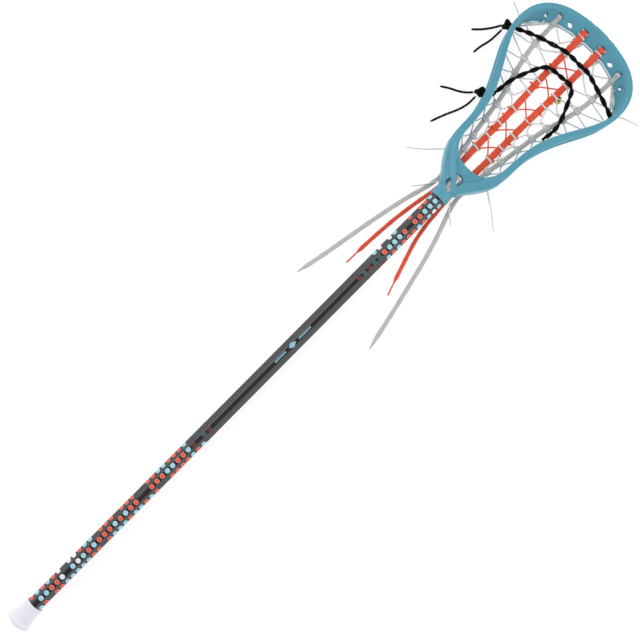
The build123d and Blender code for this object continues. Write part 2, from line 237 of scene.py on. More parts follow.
def fill_braid(sheet: NodeSheet, given: bpy.types.Node, made: bpy.types.Node) -> None:
    """Crossing yarns of a braided lace, read from the piece's own route map."""
    place = sheet.add("ShaderNodeSeparateXYZ", {"Vector": given.outputs["Vector"]})
    round_lace = sheet.maths("MULTIPLY", place.outputs["X"], 6.0 * math.pi)
    along = sheet.maths("MULTIPLY", place.outputs["Y"], given.outputs["Pitch"])
    one = sheet.maths("SINE", sheet.maths("ADD", along, round_lace))
    two = sheet.maths("SINE", sheet.maths("SUBTRACT", along, round_lace))
    height = sheet.maths("ABSOLUTE", sheet.maths("MULTIPLY", one, two))
    sheet.join(height, made.inputs["Height"])
    sheet.join(sheet.ramp(height, 0.05, 0.6), made.inputs["Mask"])


VECTOR, FLOAT, COLOUR = "NodeSocketVector", "NodeSocketFloat", "NodeSocketColor"
MOTTLE = Effect(
    "colour_mottle",
    (("Vector", VECTOR), ("Scale", FLOAT), ("Base", COLOUR), ("Patch", COLOUR)),
    (("Colour", COLOUR), ("Mask", FLOAT)),
    fill_mottle,
)
GRAIN = Effect(
    "pebbled_grain", (("Vector", VECTOR), ("Scale", FLOAT)), (("Height", FLOAT), ("Mask", FLOAT)),
    fill_grain
)
WEAR = Effect("edge_wear", (("Vector", VECTOR), ("Scale", FLOAT)), (("Mask", FLOAT),), fill_wear)
BRAID = Effect(
    "braided_yarns", (("Vector", VECTOR), ("Pitch", FLOAT)), (("Height", FLOAT), ("Mask", FLOAT)),
    fill_braid
)


# ---------------------------------------------------------------- finishes
class Finish:
    """A surface finish that builds its material once."""

    name: str

    def dress(self, sheet: NodeSheet, shader: bpy.types.Node) -> None:
        """Fill the material around its main shader."""
        raise NotImplementedError

    def material(self) -> bpy.types.Material:
        """Return the finish's material, built the first time it is asked for."""
        made = bpy.data.materials.get(self.name)
        if made is None:
            made = bpy.data.materials.new(self.name)
            made.use_nodes = True
            made.node_tree.nodes.clear()
            sheet = NodeSheet(made.node_tree)
            shader = sheet.add("ShaderNodeBsdfPrincipled")
            sheet.add("ShaderNodeOutputMaterial", {"Surface": shader.outputs[0]})
            self.dress(sheet, shader)
        return made


def object_place(sheet: NodeSheet) -> bpy.types.NodeSocket:
    """Return the socket of the object coordinates."""
    return sheet.add("ShaderNodeTexCoord").outputs["Object"]


def raise_surface(
    sheet: NodeSheet, shader: bpy.types.Node, height: bpy.types.NodeSocket, strength: float, distance: float
) -> None:
    """Join a height to the shader's normal through a bump node."""
    bump = sheet.add("ShaderNodeBump", {"Height": height, "Strength": strength, "Distance": distance})
    sheet.join(bump.outputs["Normal"], shader.inputs["Normal"])


@dataclass(frozen=True)
class MouldedPlastic(Finish):
    """Injection-moulded nylon or rubber with a fine skin and rubbed edges."""

    name: str
    colour: Colour
    patch: Colour
    rubbed: Colour
    roughness: tuple[float, float]
    grain: float
    coat: float
    specular: float = 0.5

    def dress(self, sheet: NodeSheet, shader: bpy.types.Node) -> None:
        """Fill the material around its main shader."""
        place = object_place(sheet)
        mottle = MOTTLE.place(
            sheet, {"Vector": place, "Scale": 26.0, "Base": (*self.colour, 1), "Patch": (*self.patch, 1)}
        )
        wear = WEAR.place(sheet, {"Vector": place, "Scale": 120.0})
        share = sheet.maths("MULTIPLY", wear.outputs["Mask"], 0.45)
        colour = sheet.blend(share, mottle.outputs["Colour"], self.rubbed)
        sheet.join(colour, shader.inputs["Base Color"])
        smudge = sheet.ramp(sheet.noise(place, 70.0, 5.0), 0.3, 0.7, self.roughness)
        sheet.join(smudge, shader.inputs["Roughness"])
        grain = GRAIN.place(sheet, {"Vector": place, "Scale": self.grain})
        raise_surface(sheet, shader, grain.outputs["Height"], 0.22, 0.0003)
        shader.inputs["Coat Weight"].default_value = self.coat
        shader.inputs["Coat Roughness"].default_value = 0.22
        shader.inputs["Specular IOR Level"].default_value = self.specular


@dataclass(frozen=True)
class ShaftCoat(Finish):
    """Satin black coat over alloy, with the bare alloy showing past the coat's end."""

    name: str = "shaft_satin_black"
    coat_end: float = 0.7745
    colour: Colour = (0.0062, 0.006, 0.0092)
    patch: Colour = (0.010, 0.0098, 0.014)
    alloy: Colour = (0.66, 0.655, 0.67)

    def dress(self, sheet: NodeSheet, shader: bpy.types.Node) -> None:
        """Fill the material around its main shader."""
        place = object_place(sheet)
        drawn = sheet.add("ShaderNodeMapping", {"Vector": place, "Scale": (6.0, 420.0, 420.0)})
        streaks = sheet.noise(drawn.outputs["Vector"], 1.0, 4.0)
        mottle = MOTTLE.place(
            sheet, {"Vector": place, "Scale": 40.0, "Base": (*self.colour, 1), "Patch": (*self.patch, 1)}
        )
        along = sheet.add("ShaderNodeSeparateXYZ", {"Vector": place}).outputs["X"]
        ragged = sheet.maths("ADD", along, sheet.ramp(streaks, 0.3, 0.7, (-0.0004, 0.0004)))
        bare = sheet.ramp(ragged, self.coat_end - 0.0003, self.coat_end + 0.0003)
        brushed = sheet.blend(sheet.ramp(streaks, 0.3, 0.7), self.alloy, (0.52, 0.515, 0.53))
        colour = sheet.blend(bare, mottle.outputs["Colour"], brushed)
        sheet.join(colour, shader.inputs["Base Color"])
        sheet.join(sheet.maths("MULTIPLY", bare, 0.45), shader.inputs["Metallic"])
        sheet.join(sheet.ramp(streaks, 0.3, 0.7, (0.24, 0.36)), shader.inputs["Roughness"])
        grain = GRAIN.place(sheet, {"Vector": place, "Scale": 1500.0})
        raise_surface(sheet, shader, grain.outputs["Height"], 0.08, 0.0001)
        shader.inputs["Specular IOR Level"].default_value = 0.7
        shader.inputs["Coat Weight"].default_value = 0.45
        shader.inputs["Coat Roughness"].default_value = 0.12


@dataclass(frozen=True)
class PrintedInk(Finish):
    """Screen-printed dots whose colour comes with the mesh."""

    name: str = "dot_ink"

    def dress(self, sheet: NodeSheet, shader: bpy.types.Node) -> None:
        """Fill the material around its main shader."""
        place = object_place(sheet)
        ink = sheet.add("ShaderNodeAttribute", attribute_name="ink")
        ring = sheet.add("ShaderNodeAttribute", attribute_name="ring")
        speckle = sheet.ramp(sheet.noise(place, 900.0, 3.0), 0.35, 0.7, (0.0, 0.25))
        paler = sheet.add(
            "ShaderNodeHueSaturation", {"Saturation": 0.84, "Value": 1.1, "Color": ink.outputs["Color"]}
        )
        share = sheet.maths("MULTIPLY", ring.outputs["Fac"], 0.8)
        rimmed = sheet.blend(share, ink.outputs["Color"], paler.outputs["Color"])
        worn = sheet.blend(speckle, rimmed, (0.05, 0.05, 0.055))
        sheet.join(worn, shader.inputs["Base Color"])
        sheet.join(sheet.ramp(sheet.noise(place, 300.0), 0.3, 0.7, (0.3, 0.45)), shader.inputs["Roughness"])
        shader.inputs["Specular IOR Level"].default_value = 0.35


@dataclass(frozen=True)
class Leather(Finish):
    """Cut leather thong: pore pits darkened with painted shade, creases across it and paler rubbed patches."""

    name: str
    colour: Colour
    patch: Colour
    rubbed: Colour
    crease: float = 260.0

    def dress(self, sheet: NodeSheet, shader: bpy.types.Node) -> None:
        """Fill the material around its main shader."""
        place = object_place(sheet)
        mottle = MOTTLE.place(
            sheet, {"Vector": place, "Scale": 150.0, "Base": (*self.colour, 1), "Patch": (*self.patch, 1)}
        )
        grain = GRAIN.place(sheet, {"Vector": place, "Scale": 1100.0})
        route = sheet.add("ShaderNodeUVMap", uv_map="route")
        bars = sheet.add(
            "ShaderNodeMapping", {"Vector": route.outputs["UV"], "Scale": (1.3, self.crease * MM, 1.0)}
        )
        crease = sheet.noise(bars.outputs["Vector"], 6.0, 3.0)
        height = sheet.maths("ADD", grain.outputs["Height"], sheet.maths("MULTIPLY", crease, 1.4))
        share = sheet.ramp(crease, 0.56, 0.75, (0.0, 0.45))
        rubbed = sheet.blend(share, mottle.outputs["Colour"], self.rubbed)
        # Painted shade: the colour darkens in the pore pits, where the grain's height is low.
        pore_shade = sheet.maths("MULTIPLY", sheet.ramp(grain.outputs["Mask"], 0.0, 0.35, (1.0, 0.0)), 0.25)
        shade_colour = tuple(part * 0.6 for part in self.colour)
        sheet.join(sheet.blend(pore_shade, rubbed, shade_colour), shader.inputs["Base Color"])
        sheet.join(sheet.ramp(crease, 0.3, 0.7, (0.5, 0.68)), shader.inputs["Roughness"])
        raise_surface(sheet, shader, height, 0.35, 0.00025)
        shader.inputs["Sheen Weight"].default_value = 0.08
        shader.inputs["Specular IOR Level"].default_value = 0.35


@dataclass(frozen=True)
class BraidedLace(Finish):
    """Braided or twisted cord with its yarns read from the route map, and painted shade between the yarns."""

    name: str
    colour: Colour
    patch: Colour
    pitch: float = 3.2
    roughness: tuple[float, float] = (0.45, 0.6)
    depth: float = 0.0003
    specular: float = 0.3

    def dress(self, sheet: NodeSheet, shader: bpy.types.Node) -> None:
        """Fill the material around its main shader."""
        place = object_place(sheet)
        route = sheet.add("ShaderNodeUVMap", uv_map="route")
        braid = BRAID.place(sheet, {"Vector": route.outputs["UV"], "Pitch": self.pitch})
        mottle = MOTTLE.place(
            sheet, {"Vector": place, "Scale": 220.0, "Base": (*self.colour, 1), "Patch": (*self.patch, 1)}
        )
        # Painted shade: the colour darkens between the yarns, where the braid's height is low.
        yarn_gap_shade = sheet.maths("MULTIPLY", sheet.ramp(braid.outputs["Mask"], 0.0, 1.0, (1.0, 0.0)), 0.22)
        shade_colour = tuple(part * 0.6 for part in self.colour)
        sheet.join(sheet.blend(yarn_gap_shade, mottle.outputs["Colour"], shade_colour), shader.inputs["Base Color"])
        sheet.join(
            sheet.ramp(mottle.outputs["Mask"], 0.0, 1.0, self.roughness), shader.inputs["Roughness"]
        )
        raise_surface(sheet, shader, braid.outputs["Height"], 0.5, self.depth)
        shader.inputs["Specular IOR Level"].default_value = self.specular


@dataclass(frozen=True)
class TurnedSteel(Finish):
    """Zinc-plated steel of the screw, with fine turning marks."""

    name: str = "screw_plated_steel"

    def dress(self, sheet: NodeSheet, shader: bpy.types.Node) -> None:
        """Fill the material around its main shader."""
        place = object_place(sheet)
        marks = sheet.noise(place, 900.0, 4.0)
        colour = sheet.blend(sheet.ramp(marks, 0.3, 0.7), (0.46, 0.46, 0.48), (0.30, 0.30, 0.32))
        sheet.join(colour, shader.inputs["Base Color"])
        sheet.join(sheet.ramp(marks, 0.3, 0.7, (0.22, 0.42)), shader.inputs["Roughness"])
        raise_surface(sheet, shader, marks, 0.12, 0.0001)
        shader.inputs["Metallic"].default_value = 1.0


@dataclass(frozen=True)
class PaleFloor(Finish):
    """Bright seamless floor."""

    name: str = "pale_floor"

    def dress(self, sheet: NodeSheet, shader: bpy.types.Node) -> None:
        """Fill the material around its main shader."""
        place = object_place(sheet)
        tone = sheet.blend(
            sheet.ramp(sheet.noise(place, 3.0), 0.3, 0.7), (0.30, 0.30, 0.30), (0.32, 0.32, 0.32)
        )
        sheet.join(tone, shader.inputs["Base Color"])
        shader.inputs["Roughness"].default_value = 0.9
        shader.inputs["Specular IOR Level"].default_value = 0.05
        shader.inputs["Emission Color"].default_value = (1.0, 1.0, 1.0, 1.0)
        shader.inputs["Emission Strength"].default_value = 0.80


TEAL_NYLON = MouldedPlastic(
    "head_teal_nylon", (0.106, 0.355, 0.465), (0.092, 0.318, 0.425), (0.22, 0.5, 0.6), (0.34, 0.48),
    900.0, 0.05, 0.28
)
WHITE_RUBBER = MouldedPlastic(
    "cap_white_rubber", (0.86, 0.86, 0.93), (0.82, 0.82, 0.90), (0.88, 0.88, 0.94), (0.5, 0.65), 1400.0,
    0.0, 0.12
)
ORANGE_LEATHER = Leather("thong_orange", (0.86, 0.10, 0.038), (0.76, 0.078, 0.03), (0.92, 0.19, 0.09))
GREY_LEATHER = Leather("thong_grey", (0.56, 0.555, 0.55), (0.49, 0.485, 0.48), (0.66, 0.655, 0.65))
GREY_LACE = BraidedLace("lace_grey", (0.86, 0.85, 0.85), (0.76, 0.75, 0.75))
PALE_LACE = BraidedLace("lace_pale", (0.80, 0.795, 0.79), (0.70, 0.695, 0.69))
WHITE_LACE = BraidedLace("lace_white", (0.92, 0.905, 0.90), (0.82, 0.805, 0.80))
YELLOW_TAPE = BraidedLace("tab_yellow", (0.78, 0.60, 0.05), (0.66, 0.48, 0.04))
ORANGE_LACE = BraidedLace("lace_orange", (0.92, 0.14, 0.06), (0.82, 0.105, 0.045))
BLACK_CORD = BraidedLace(
    "cord_black", (0.002, 0.002, 0.002), (0.005, 0.005, 0.005), 3.0, (0.6, 0.8), 0.0004, 0.12
)


# ---------------------------------------------------------------- mesh helpers
def plain_object(name: str, mesh: bpy.types.Mesh, finish: Finish) -> bpy.types.Object:
    """Put a mesh in the scene at the origin, smooth and with one finish."""
    mesh.name = name
    mesh.materials.clear()
    mesh.materials.append(finish.material())
    smooth(mesh)
    return linked(name, mesh)


def linked(name: str, data: bpy.types.ID) -> bpy.types.Object:
    """Put an object with this data in the scene, at the origin."""
    made = bpy.data.objects.new(name, data)
    bpy.context.scene.collection.objects.link(made)
    return made


def smooth(mesh: bpy.types.Mesh) -> None:
    """Shade every face smoothly."""
    mesh.polygons.foreach_set("use_smooth", [True] * len(mesh.polygons))


def applied_mesh(source: bpy.types.Object) -> bpy.types.Mesh:
    """Return the object's mesh with its modifiers or its curve worked out."""
    graph = bpy.context.evaluated_depsgraph_get()
    graph.update()
    done = source.evaluated_get(graph)
    return bpy.data.meshes.new_from_object(done, preserve_all_data_layers=True, depsgraph=graph)


def settle(made: bpy.types.Object) -> bpy.types.Object:
    """Swap an object's mesh for the worked-out one and clear its modifiers."""
    mesh = applied_mesh(made)
    made.modifiers.clear()
    old = made.data
    made.data = mesh
    bpy.data.meshes.remove(old)
    mesh.name = made.name
    return made


def route_curve(name: str, route: Sequence[Point], kind: Spline) -> bpy.types.Object:
    """Make a curve object of one open spline.

    Args:
        name: The curve's name.
        route: The spline's points, in metres.
        kind: Whether the spline passes through its points or near them.

    Returns:
        The curve object, linked to the scene.
    """
    data = bpy.data.curves.new(name, "CURVE")
    data.dimensions = "3D"
    data.resolution_u = 8
    spline = data.splines.new(kind.value)
    if kind is Spline.NEAR:
        spline.points.add(len(route) - 1)
        for spot, point in zip(spline.points, route):
            spot.co = (*point, 1.0)
        spline.order_u = 3
        spline.use_endpoint_u = True
    else:
        spline.bezier_points.add(len(route) - 1)
        for spot, point in zip(spline.bezier_points, route):
            spot.co = point
            spot.handle_left_type = spot.handle_right_type = "AUTO"
    return linked(name, data)


def route_points(route: Sequence[Point], kind: Spline) -> list[Vector]:
    """Read the points of a smooth line along a route from a curve without a bevel."""
    curve = route_curve("route_guide", route, kind)
    mesh = applied_mesh(curve)
    points = [vertex.co.copy() for vertex in mesh.vertices]
    data = curve.data
    bpy.data.objects.remove(curve)
    bpy.data.curves.remove(data)
    bpy.data.meshes.remove(mesh)
    return [
        point for number, point in enumerate(points)
        if not number or (point - points[number - 1]).length > 1e-5
    ]


def run_lengths(points: Sequence[Vector]) -> list[float]:
    """Return the length from the first point to each point."""
    total = [0.0]
    for before, after in zip(points, points[1:]):
        total.append(total[-1] + (after - before).length)
    return total


def side_vectors(points: Sequence[Vector], flat: bool) -> list[tuple[Vector, Vector]]:
    """Find the two directions across a line at each of its points.

    Args:
        points: The line's points.
        flat: True for a strap, which keeps its width level; False for a cord, which turns least.

    Returns:
        A sideways and an upward unit vector for each point.
    """
    pairs: list[tuple[Vector, Vector]] = []
    last = len(points) - 1
    side = Vector((0.0, 1.0, 0.0))
    for number in range(len(points)):
        tangent = (points[min(number + 1, last)] - points[max(number - 1, 0)]).normalized()
        level = UP.cross(tangent)
        if flat and level.length > 0.15:
            side = level.normalized()
        elif not flat and not pairs:
            side = (level if level.length > 0.1 else Vector((0.0, 1.0, 0.0))).normalized()
        side = (side - tangent * side.dot(tangent)).normalized()
        pairs.append((side, tangent.cross(side).normalized()))
    return pairs


def loft(
    name: str, rings: Sequence[Sequence[Vector]], runs: Sequence[float], closed: bool = False
) -> bpy.types.Mesh:
    """Skin closed rings into one mesh, with a route map of angle and length.

    Args:
        name: The mesh's name.
        rings: Rings with the same number of points, in order.
        runs: Length along the route at each ring.
        closed: True joins the last ring to the first instead of closing both ends.

    Returns:
        The mesh, with faces pointing outwards.
    """
    count = len(rings[0])
    verts = [tuple(spot) for ring in rings for spot in ring]
    faces: list[tuple[int, ...]] = []
    marks: list[list[tuple[float, float]]] = []
    rows = len(rings) if closed else len(rings) - 1
    for row in range(rows):
        low, high = row * count, (row + 1) % len(rings) * count
        start = runs[row] / MM
        end = start + (runs[row + 1] - runs[row]) / MM if row + 1 < len(runs) else start + 0.5
        for step in range(count):
            after = (step + 1) % count
            faces.append((low + step, low + after, high + after, high + step))
            left, right = step / count, (step + 1) / count
            marks.append([(left, start), (right, start), (right, end), (left, end)])
    if not closed:
        for base, run, flip in ((0, runs[0], True), (len(verts) - count, runs[-1], False)):
            centre = len(verts)
            spots = verts[base:base + count]
            verts.append(tuple(sum(spot[axis] for spot in spots) / count for axis in range(3)))
            for step in range(count):
                pair = (base + step, base + (step + 1) % count)
                faces.append((*(reversed(pair) if flip else pair), centre))
                marks.append([(step / count, run / MM)] * 3)
    mesh = bpy.data.meshes.new(name)
    mesh.from_pydata(verts, [], faces)
    layer = mesh.uv_layers.new(name="route")
    layer.data.foreach_set("uv", [part for face in marks for mark in face for part in mark])
    mesh.validate()
    return mesh


def sweep(name: str, points: Sequence[Vector], section: Section, flat: bool = False) -> bpy.types.Mesh:
    """Carry a section along a line.

    Args:
        name: The mesh's name.
        points: The line, in metres.
        section: Gives the ring's sideways and upward offsets at a length and the whole length.
        flat: True keeps a strap's width level.

    Returns:
        The closed mesh.
    """
    runs = run_lengths(points)
    rings = []
    for point, run, (side, rise) in zip(points, runs, side_vectors(points, flat)):
        rings.append([point + side * across + rise * up for across, up in section(run, runs[-1])])
    return loft(name, rings, runs)


def end_round(run: float, whole: float, radius: float) -> float:
    """Return how much a section shrinks near a rounded end."""
    near = min(run, whole - run)
    return math.sqrt(max(0.06, 1 - (1 - min(near / radius, 1.0)) ** 2))


def round_section(diameter: float, sides: int = 10) -> Section:
    """Give a plain round section with rounded ends."""
    def section(run: float, whole: float) -> list[tuple[float, float]]:
        """Return the ring at one length."""
        radius = diameter / 2 * end_round(run, whole, diameter / 2)
        turns = [2 * math.pi * step / sides for step in range(sides)]
        return [(radius * math.cos(turn), radius * math.sin(turn)) for turn in turns]
    return section


def twisted_section(diameter: float, pitch: float, plies: int = 2, sides: int = 18) -> Section:
    """Give the section of a cord laid from a few twisted plies."""
    def section(run: float, whole: float) -> list[tuple[float, float]]:
        """Return the ring at one length."""
        shrink = end_round(run, whole, diameter / 2)
        turned = 2 * math.pi * run / pitch
        ring = []
        for step in range(sides):
            turn = 2 * math.pi * step / sides
            lobe = abs(math.cos(plies * (turn - turned) / 2))
            radius = diameter / 2 * shrink * (0.8 + 0.2 * lobe)
            ring.append((radius * math.cos(turn), radius * math.sin(turn)))
        return ring
    return section


def strap_ring(left: float, right: float, thickness: float) -> list[tuple[float, float]]:
    """Return a flat ring with rounded edges between two sideways reaches."""
    half = thickness / 2
    soft = min(half, (left + right) / 4)
    ring = []
    corners = ((left, half, 0), (-right, half, 90), (-right, -half, 180), (left, -half, 270))
    for across, up, start in corners:
        for step in range(4):
            turn = math.radians(start + step * 30)
            centre_x = across - math.copysign(soft, across)
            centre_y = up - math.copysign(min(soft, half), up)
            ring.append((centre_x + soft * math.cos(turn), centre_y + min(soft, half) * math.sin(turn)))
    return ring


# ---------------------------------------------------------------- geometry node trees
class GeometrySheet(NodeSheet):
    """A geometry tree with named inputs, applied to a guide mesh."""

    def __init__(self, name: str, inputs: dict[str, str]) -> None:
        """Make the tree and its sockets."""
        tree = bpy.data.node_groups.new(name, "GeometryNodeTree")
        tree.interface.new_socket("Geometry", in_out="INPUT", socket_type="NodeSocketGeometry")
        for label, kind in inputs.items():
            tree.interface.new_socket(label, in_out="INPUT", socket_type=kind)
        tree.interface.new_socket("Geometry", in_out="OUTPUT", socket_type="NodeSocketGeometry")
        super().__init__(tree)
        self.given = self.add("NodeGroupInput").outputs
        self.made = self.add("NodeGroupOutput").inputs["Geometry"]

    def finish(self, geometry: bpy.types.NodeSocket, finish: Finish) -> None:
        """End the tree with its material."""
        dressed = self.add("GeometryNodeSetMaterial", {"Geometry": geometry, "Material": finish.material()})
        self.join(dressed.outputs["Geometry"], self.made)

    def grow(
        self, name: str, guide: bpy.types.Mesh, values: dict[str, object], finish: Finish
    ) -> bpy.types.Object:
        """Run the tree on a guide mesh.

        Args:
            name: The piece's name.
            guide: The mesh whose points the tree reads.
            values: The tree's inputs by name.
            finish: The finish that the piece keeps.

        Returns:
            The piece as a plain mesh object.
        """
        holder = linked(name, guide)
        change = holder.modifiers.new("tree", "NODES")
        change.node_group = self.tree
        for item in self.tree.interface.items_tree:
            if item.in_out == "INPUT" and item.name in values:
                change[item.identifier] = values[item.name]
        settle(holder)
        mesh = holder.data
        mesh.materials.clear()
        mesh.materials.append(finish.material())
        mesh.polygons.foreach_set("material_index", [0] * len(mesh.polygons))
        smooth(mesh)
        return holder


def wrap_tree() -> GeometrySheet:
    """Build the tree that sets one lace wrap at each point of a guide, turned as the point says."""
    sheet = GeometrySheet("lace_wraps", {"Wrap": "NodeSocketObject", "Size": "NodeSocketFloat"})
    shape = sheet.add("GeometryNodeObjectInfo", {"Object": sheet.given["Wrap"]})
    turn = sheet.add("GeometryNodeInputNamedAttribute", {"Name": "turn"}, data_type="FLOAT_VECTOR")
    jitter = sheet.add(
        "FunctionNodeRandomValue", {2: 0.94, 3: 1.06, "Seed": 7}, data_type="FLOAT"
    )
    size = sheet.add(
        "ShaderNodeMath", {0: jitter.outputs[1], 1: sheet.given["Size"]}, operation="MULTIPLY"
    )
    placed = sheet.add(
        "GeometryNodeInstanceOnPoints",
        {
            "Points": sheet.given["Geometry"],
            "Instance": shape.outputs["Geometry"],
            "Rotation": turn.outputs["Attribute"],
            "Scale": size.outputs[0],
        },
    )
    real = sheet.add("GeometryNodeRealizeInstances", {"Geometry": placed.outputs["Instances"]})
    sheet.finish(real.outputs["Geometry"], GREY_LACE)
    return sheet


def dot_tree() -> GeometrySheet:
    """Build the tree that prints dots: blanks on a flat sheet of points, wrapped round the shaft's profile."""
    sheet = GeometrySheet(
        "dot_print", {"Blank": "NodeSocketObject", "Profile": "NodeSocketObject", "Lift": "NodeSocketFloat"}
    )
    blank = sheet.add("GeometryNodeObjectInfo", {"Object": sheet.given["Blank"]})
    placed = sheet.add(
        "GeometryNodeInstanceOnPoints",
        {"Points": sheet.given["Geometry"], "Instance": blank.outputs["Geometry"]},
    )
    real = sheet.add("GeometryNodeRealizeInstances", {"Geometry": placed.outputs["Instances"]})
    spot = sheet.add("ShaderNodeSeparateXYZ", {"Vector": sheet.add("GeometryNodeInputPosition").outputs[0]})
    profile = sheet.add("GeometryNodeObjectInfo", {"Object": sheet.given["Profile"]})
    line = sheet.add("GeometryNodeMeshToCurve", {"Mesh": profile.outputs["Geometry"]})
    along = sheet.add(
        "GeometryNodeSampleCurve",
        {"Curves": line.outputs["Curve"], "Length": spot.outputs["Y"]},
        mode="LENGTH",
        use_all_curves=True,
    )
    outward = sheet.add(
        "ShaderNodeVectorMath", {0: along.outputs["Tangent"], 1: (1.0, 0.0, 0.0)}, operation="CROSS_PRODUCT"
    )
    lift = sheet.add("ShaderNodeMath", {0: spot.outputs["Z"], 1: sheet.given["Lift"]}, operation="MULTIPLY")
    rise = sheet.add(
        "ShaderNodeVectorMath", {0: outward.outputs[0], "Scale": lift.outputs[0]}, operation="SCALE"
    )
    face = sheet.add("ShaderNodeSeparateXYZ", {"Vector": along.outputs["Position"]})
    base = sheet.add(
        "ShaderNodeCombineXYZ", {"X": spot.outputs["X"], "Y": face.outputs["Y"], "Z": face.outputs["Z"]}
    )
    whole = sheet.add("ShaderNodeVectorMath", {0: base.outputs[0], 1: rise.outputs[0]}, operation="ADD")
    moved = sheet.add(
        "GeometryNodeSetPosition", {"Geometry": real.outputs["Geometry"], "Position": whole.outputs[0]}
    )
    sheet.finish(moved.outputs["Geometry"], PrintedInk())
    return sheet


# ---------------------------------------------------------------- studio
@dataclass
class Studio:
    """Camera, floor and soft lights round the stick."""

    eye: Vector = Vector((472.4, -2.6, 1398.0)) * MM
    tilt: float = math.radians(3.04)
    roll: tuple[float, float] = (0.70430, 0.70991)
    focal: float = 60.913125

    def build_camera(self) -> None:
        """Set the camera above the stick, looking nearly straight down."""
        data = bpy.data.cameras.new("camera")
        data.lens = self.focal
        data.clip_start, data.clip_end = 0.05, 30.0
        camera = bpy.data.objects.new("camera", data)
        along = Vector((math.cos(self.tilt), 0.0, math.sin(self.tilt)))
        across = Vector((0.0, 1.0, 0.0))
        right = along * self.roll[0] - across * self.roll[1]
        top = along * self.roll[1] + across * self.roll[0]
        back = right.cross(top)
        turn = Matrix((right, top, back)).transposed().to_4x4()
        camera.matrix_world = Matrix.Translation(self.eye) @ turn
        bpy.context.scene.collection.objects.link(camera)
        bpy.context.scene.camera = camera
        bpy.context.scene.view_settings.view_transform = "Standard"

    def build_floor(self) -> None:
        """Lay a wide pale floor under the stick."""
        half = 9.0
        spots = [
            (x, y, FLOOR_LEVEL) for x, y in ((-half, -half), (half, -half), (half, half), (-half, half))
        ]
        mesh = bpy.data.meshes.new("floor")
        mesh.from_pydata(spots, [], [(0, 1, 2, 3)])
        plain_object("floor", mesh, PaleFloor())

    def build_lights(self) -> None:
        """Surround the stick with soft light that is brighter at the sides than overhead."""
        world = bpy.data.worlds.new("studio")
        bpy.context.scene.world = world
        world.use_nodes = True
        world.node_tree.nodes.clear()
        sheet = NodeSheet(world.node_tree)
        height = sheet.add(
            "ShaderNodeSeparateXYZ", {"Vector": sheet.add("ShaderNodeTexCoord").outputs["Generated"]}
        )
        strength = sheet.ramp(height.outputs["Z"], 0.25, 0.92, (1.08, 0.2))
        back = sheet.add("ShaderNodeBackground", {"Color": (1, 1, 1, 1), "Strength": strength})
        sheet.add("ShaderNodeOutputWorld", {"Surface": back.outputs[0]})
        for name, place, energy, size in (
            ("key", (0.45, 1.0, 1.7), 14.0, 1.0),
            ("fill", (1.3, -1.2, 1.5), 10.0, 1.1),
        ):
            data = bpy.data.lights.new(name, "AREA")
            data.energy, data.size = energy, size
            lamp = bpy.data.objects.new(name, data)
            aim = Vector((0.7, 0.0, 0.0)) - Vector(place)
            lamp.location = place
            lamp.rotation_mode = "QUATERNION"
            lamp.rotation_quaternion = aim.to_track_quat("-Z", "Y")
            bpy.context.scene.collection.objects.link(lamp)


# ---------------------------------------------------------------- free tails
class TailKind(Enum):
    """What a free tail is cut from: width, thickness, finish and slot."""

    GREY_STRAP = (0.0060, 0.0018, GREY_LEATHER, Slot.GREY_LEATHER)
    ORANGE_STRAP = (0.0054, 0.0018, ORANGE_LEATHER, Slot.RED_LEATHER)
    BLACK_CORD = (0.0030, 0.0030, BLACK_CORD, Slot.BLACK_CORD)
    NYLON_LACE = (0.0018, 0.0018, GREY_LACE, Slot.WHITE_LACE)


@dataclass(frozen=True)
class Tail:
    """One free end that hangs out of the head."""

    node: str
    kind: TailKind
    length: float
    route: tuple[Point, ...]
    lean: float = 1.0
    leader: float = 0.019

    def section(self) -> Section:
        """Return the section that suits the kind of tail."""
        width, thickness = self.kind.value[:2]
        if self.kind is TailKind.BLACK_CORD:
            return twisted_section(width * 1.08, 0.0085)
        if self.kind is TailKind.NYLON_LACE:
            return round_section(width)

        def strap(run: float, whole: float) -> list[tuple[float, float]]:
            """Return a strap's ring, narrowed near its cut tip."""
            half = width / 2 * (1 + 0.05 * math.sin(run * 260) + 0.03 * math.sin(run * 611))
            left = right = half
            if self.kind is TailKind.GREY_STRAP:
                cut = max(0.0, (run - (whole - 0.016)) / 0.016)
                left, right = half * (1 - 0.72 * cut), half * (1 - 0.95 * cut)
                if self.lean < 0:
                    left, right = right, left
            else:
                neck = min(1.0, max(0.0, (run - (whole - self.leader - 0.006)) / 0.006))
                left = right = half * (1 - 0.62 * neck)
            return strap_ring(left, right, thickness * (1 - 0.25 * (run > whole - 0.001)))
        return strap

    def build(self) -> bpy.types.Object:
        width, _, finish, slot = self.kind.value
        points = route_points(self.route, Spline.NEAR)
        flat = self.kind in (TailKind.GREY_STRAP, TailKind.ORANGE_STRAP)
        made = plain_object(self.node + "_made", sweep(self.node, points, self.section(), flat), finish)
        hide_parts(self.node)
        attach(made, Body.STICK.value)
        LOG.info("%s: %.1f mm along its line", self.node, run_lengths(points)[-1] / MM)
        return made


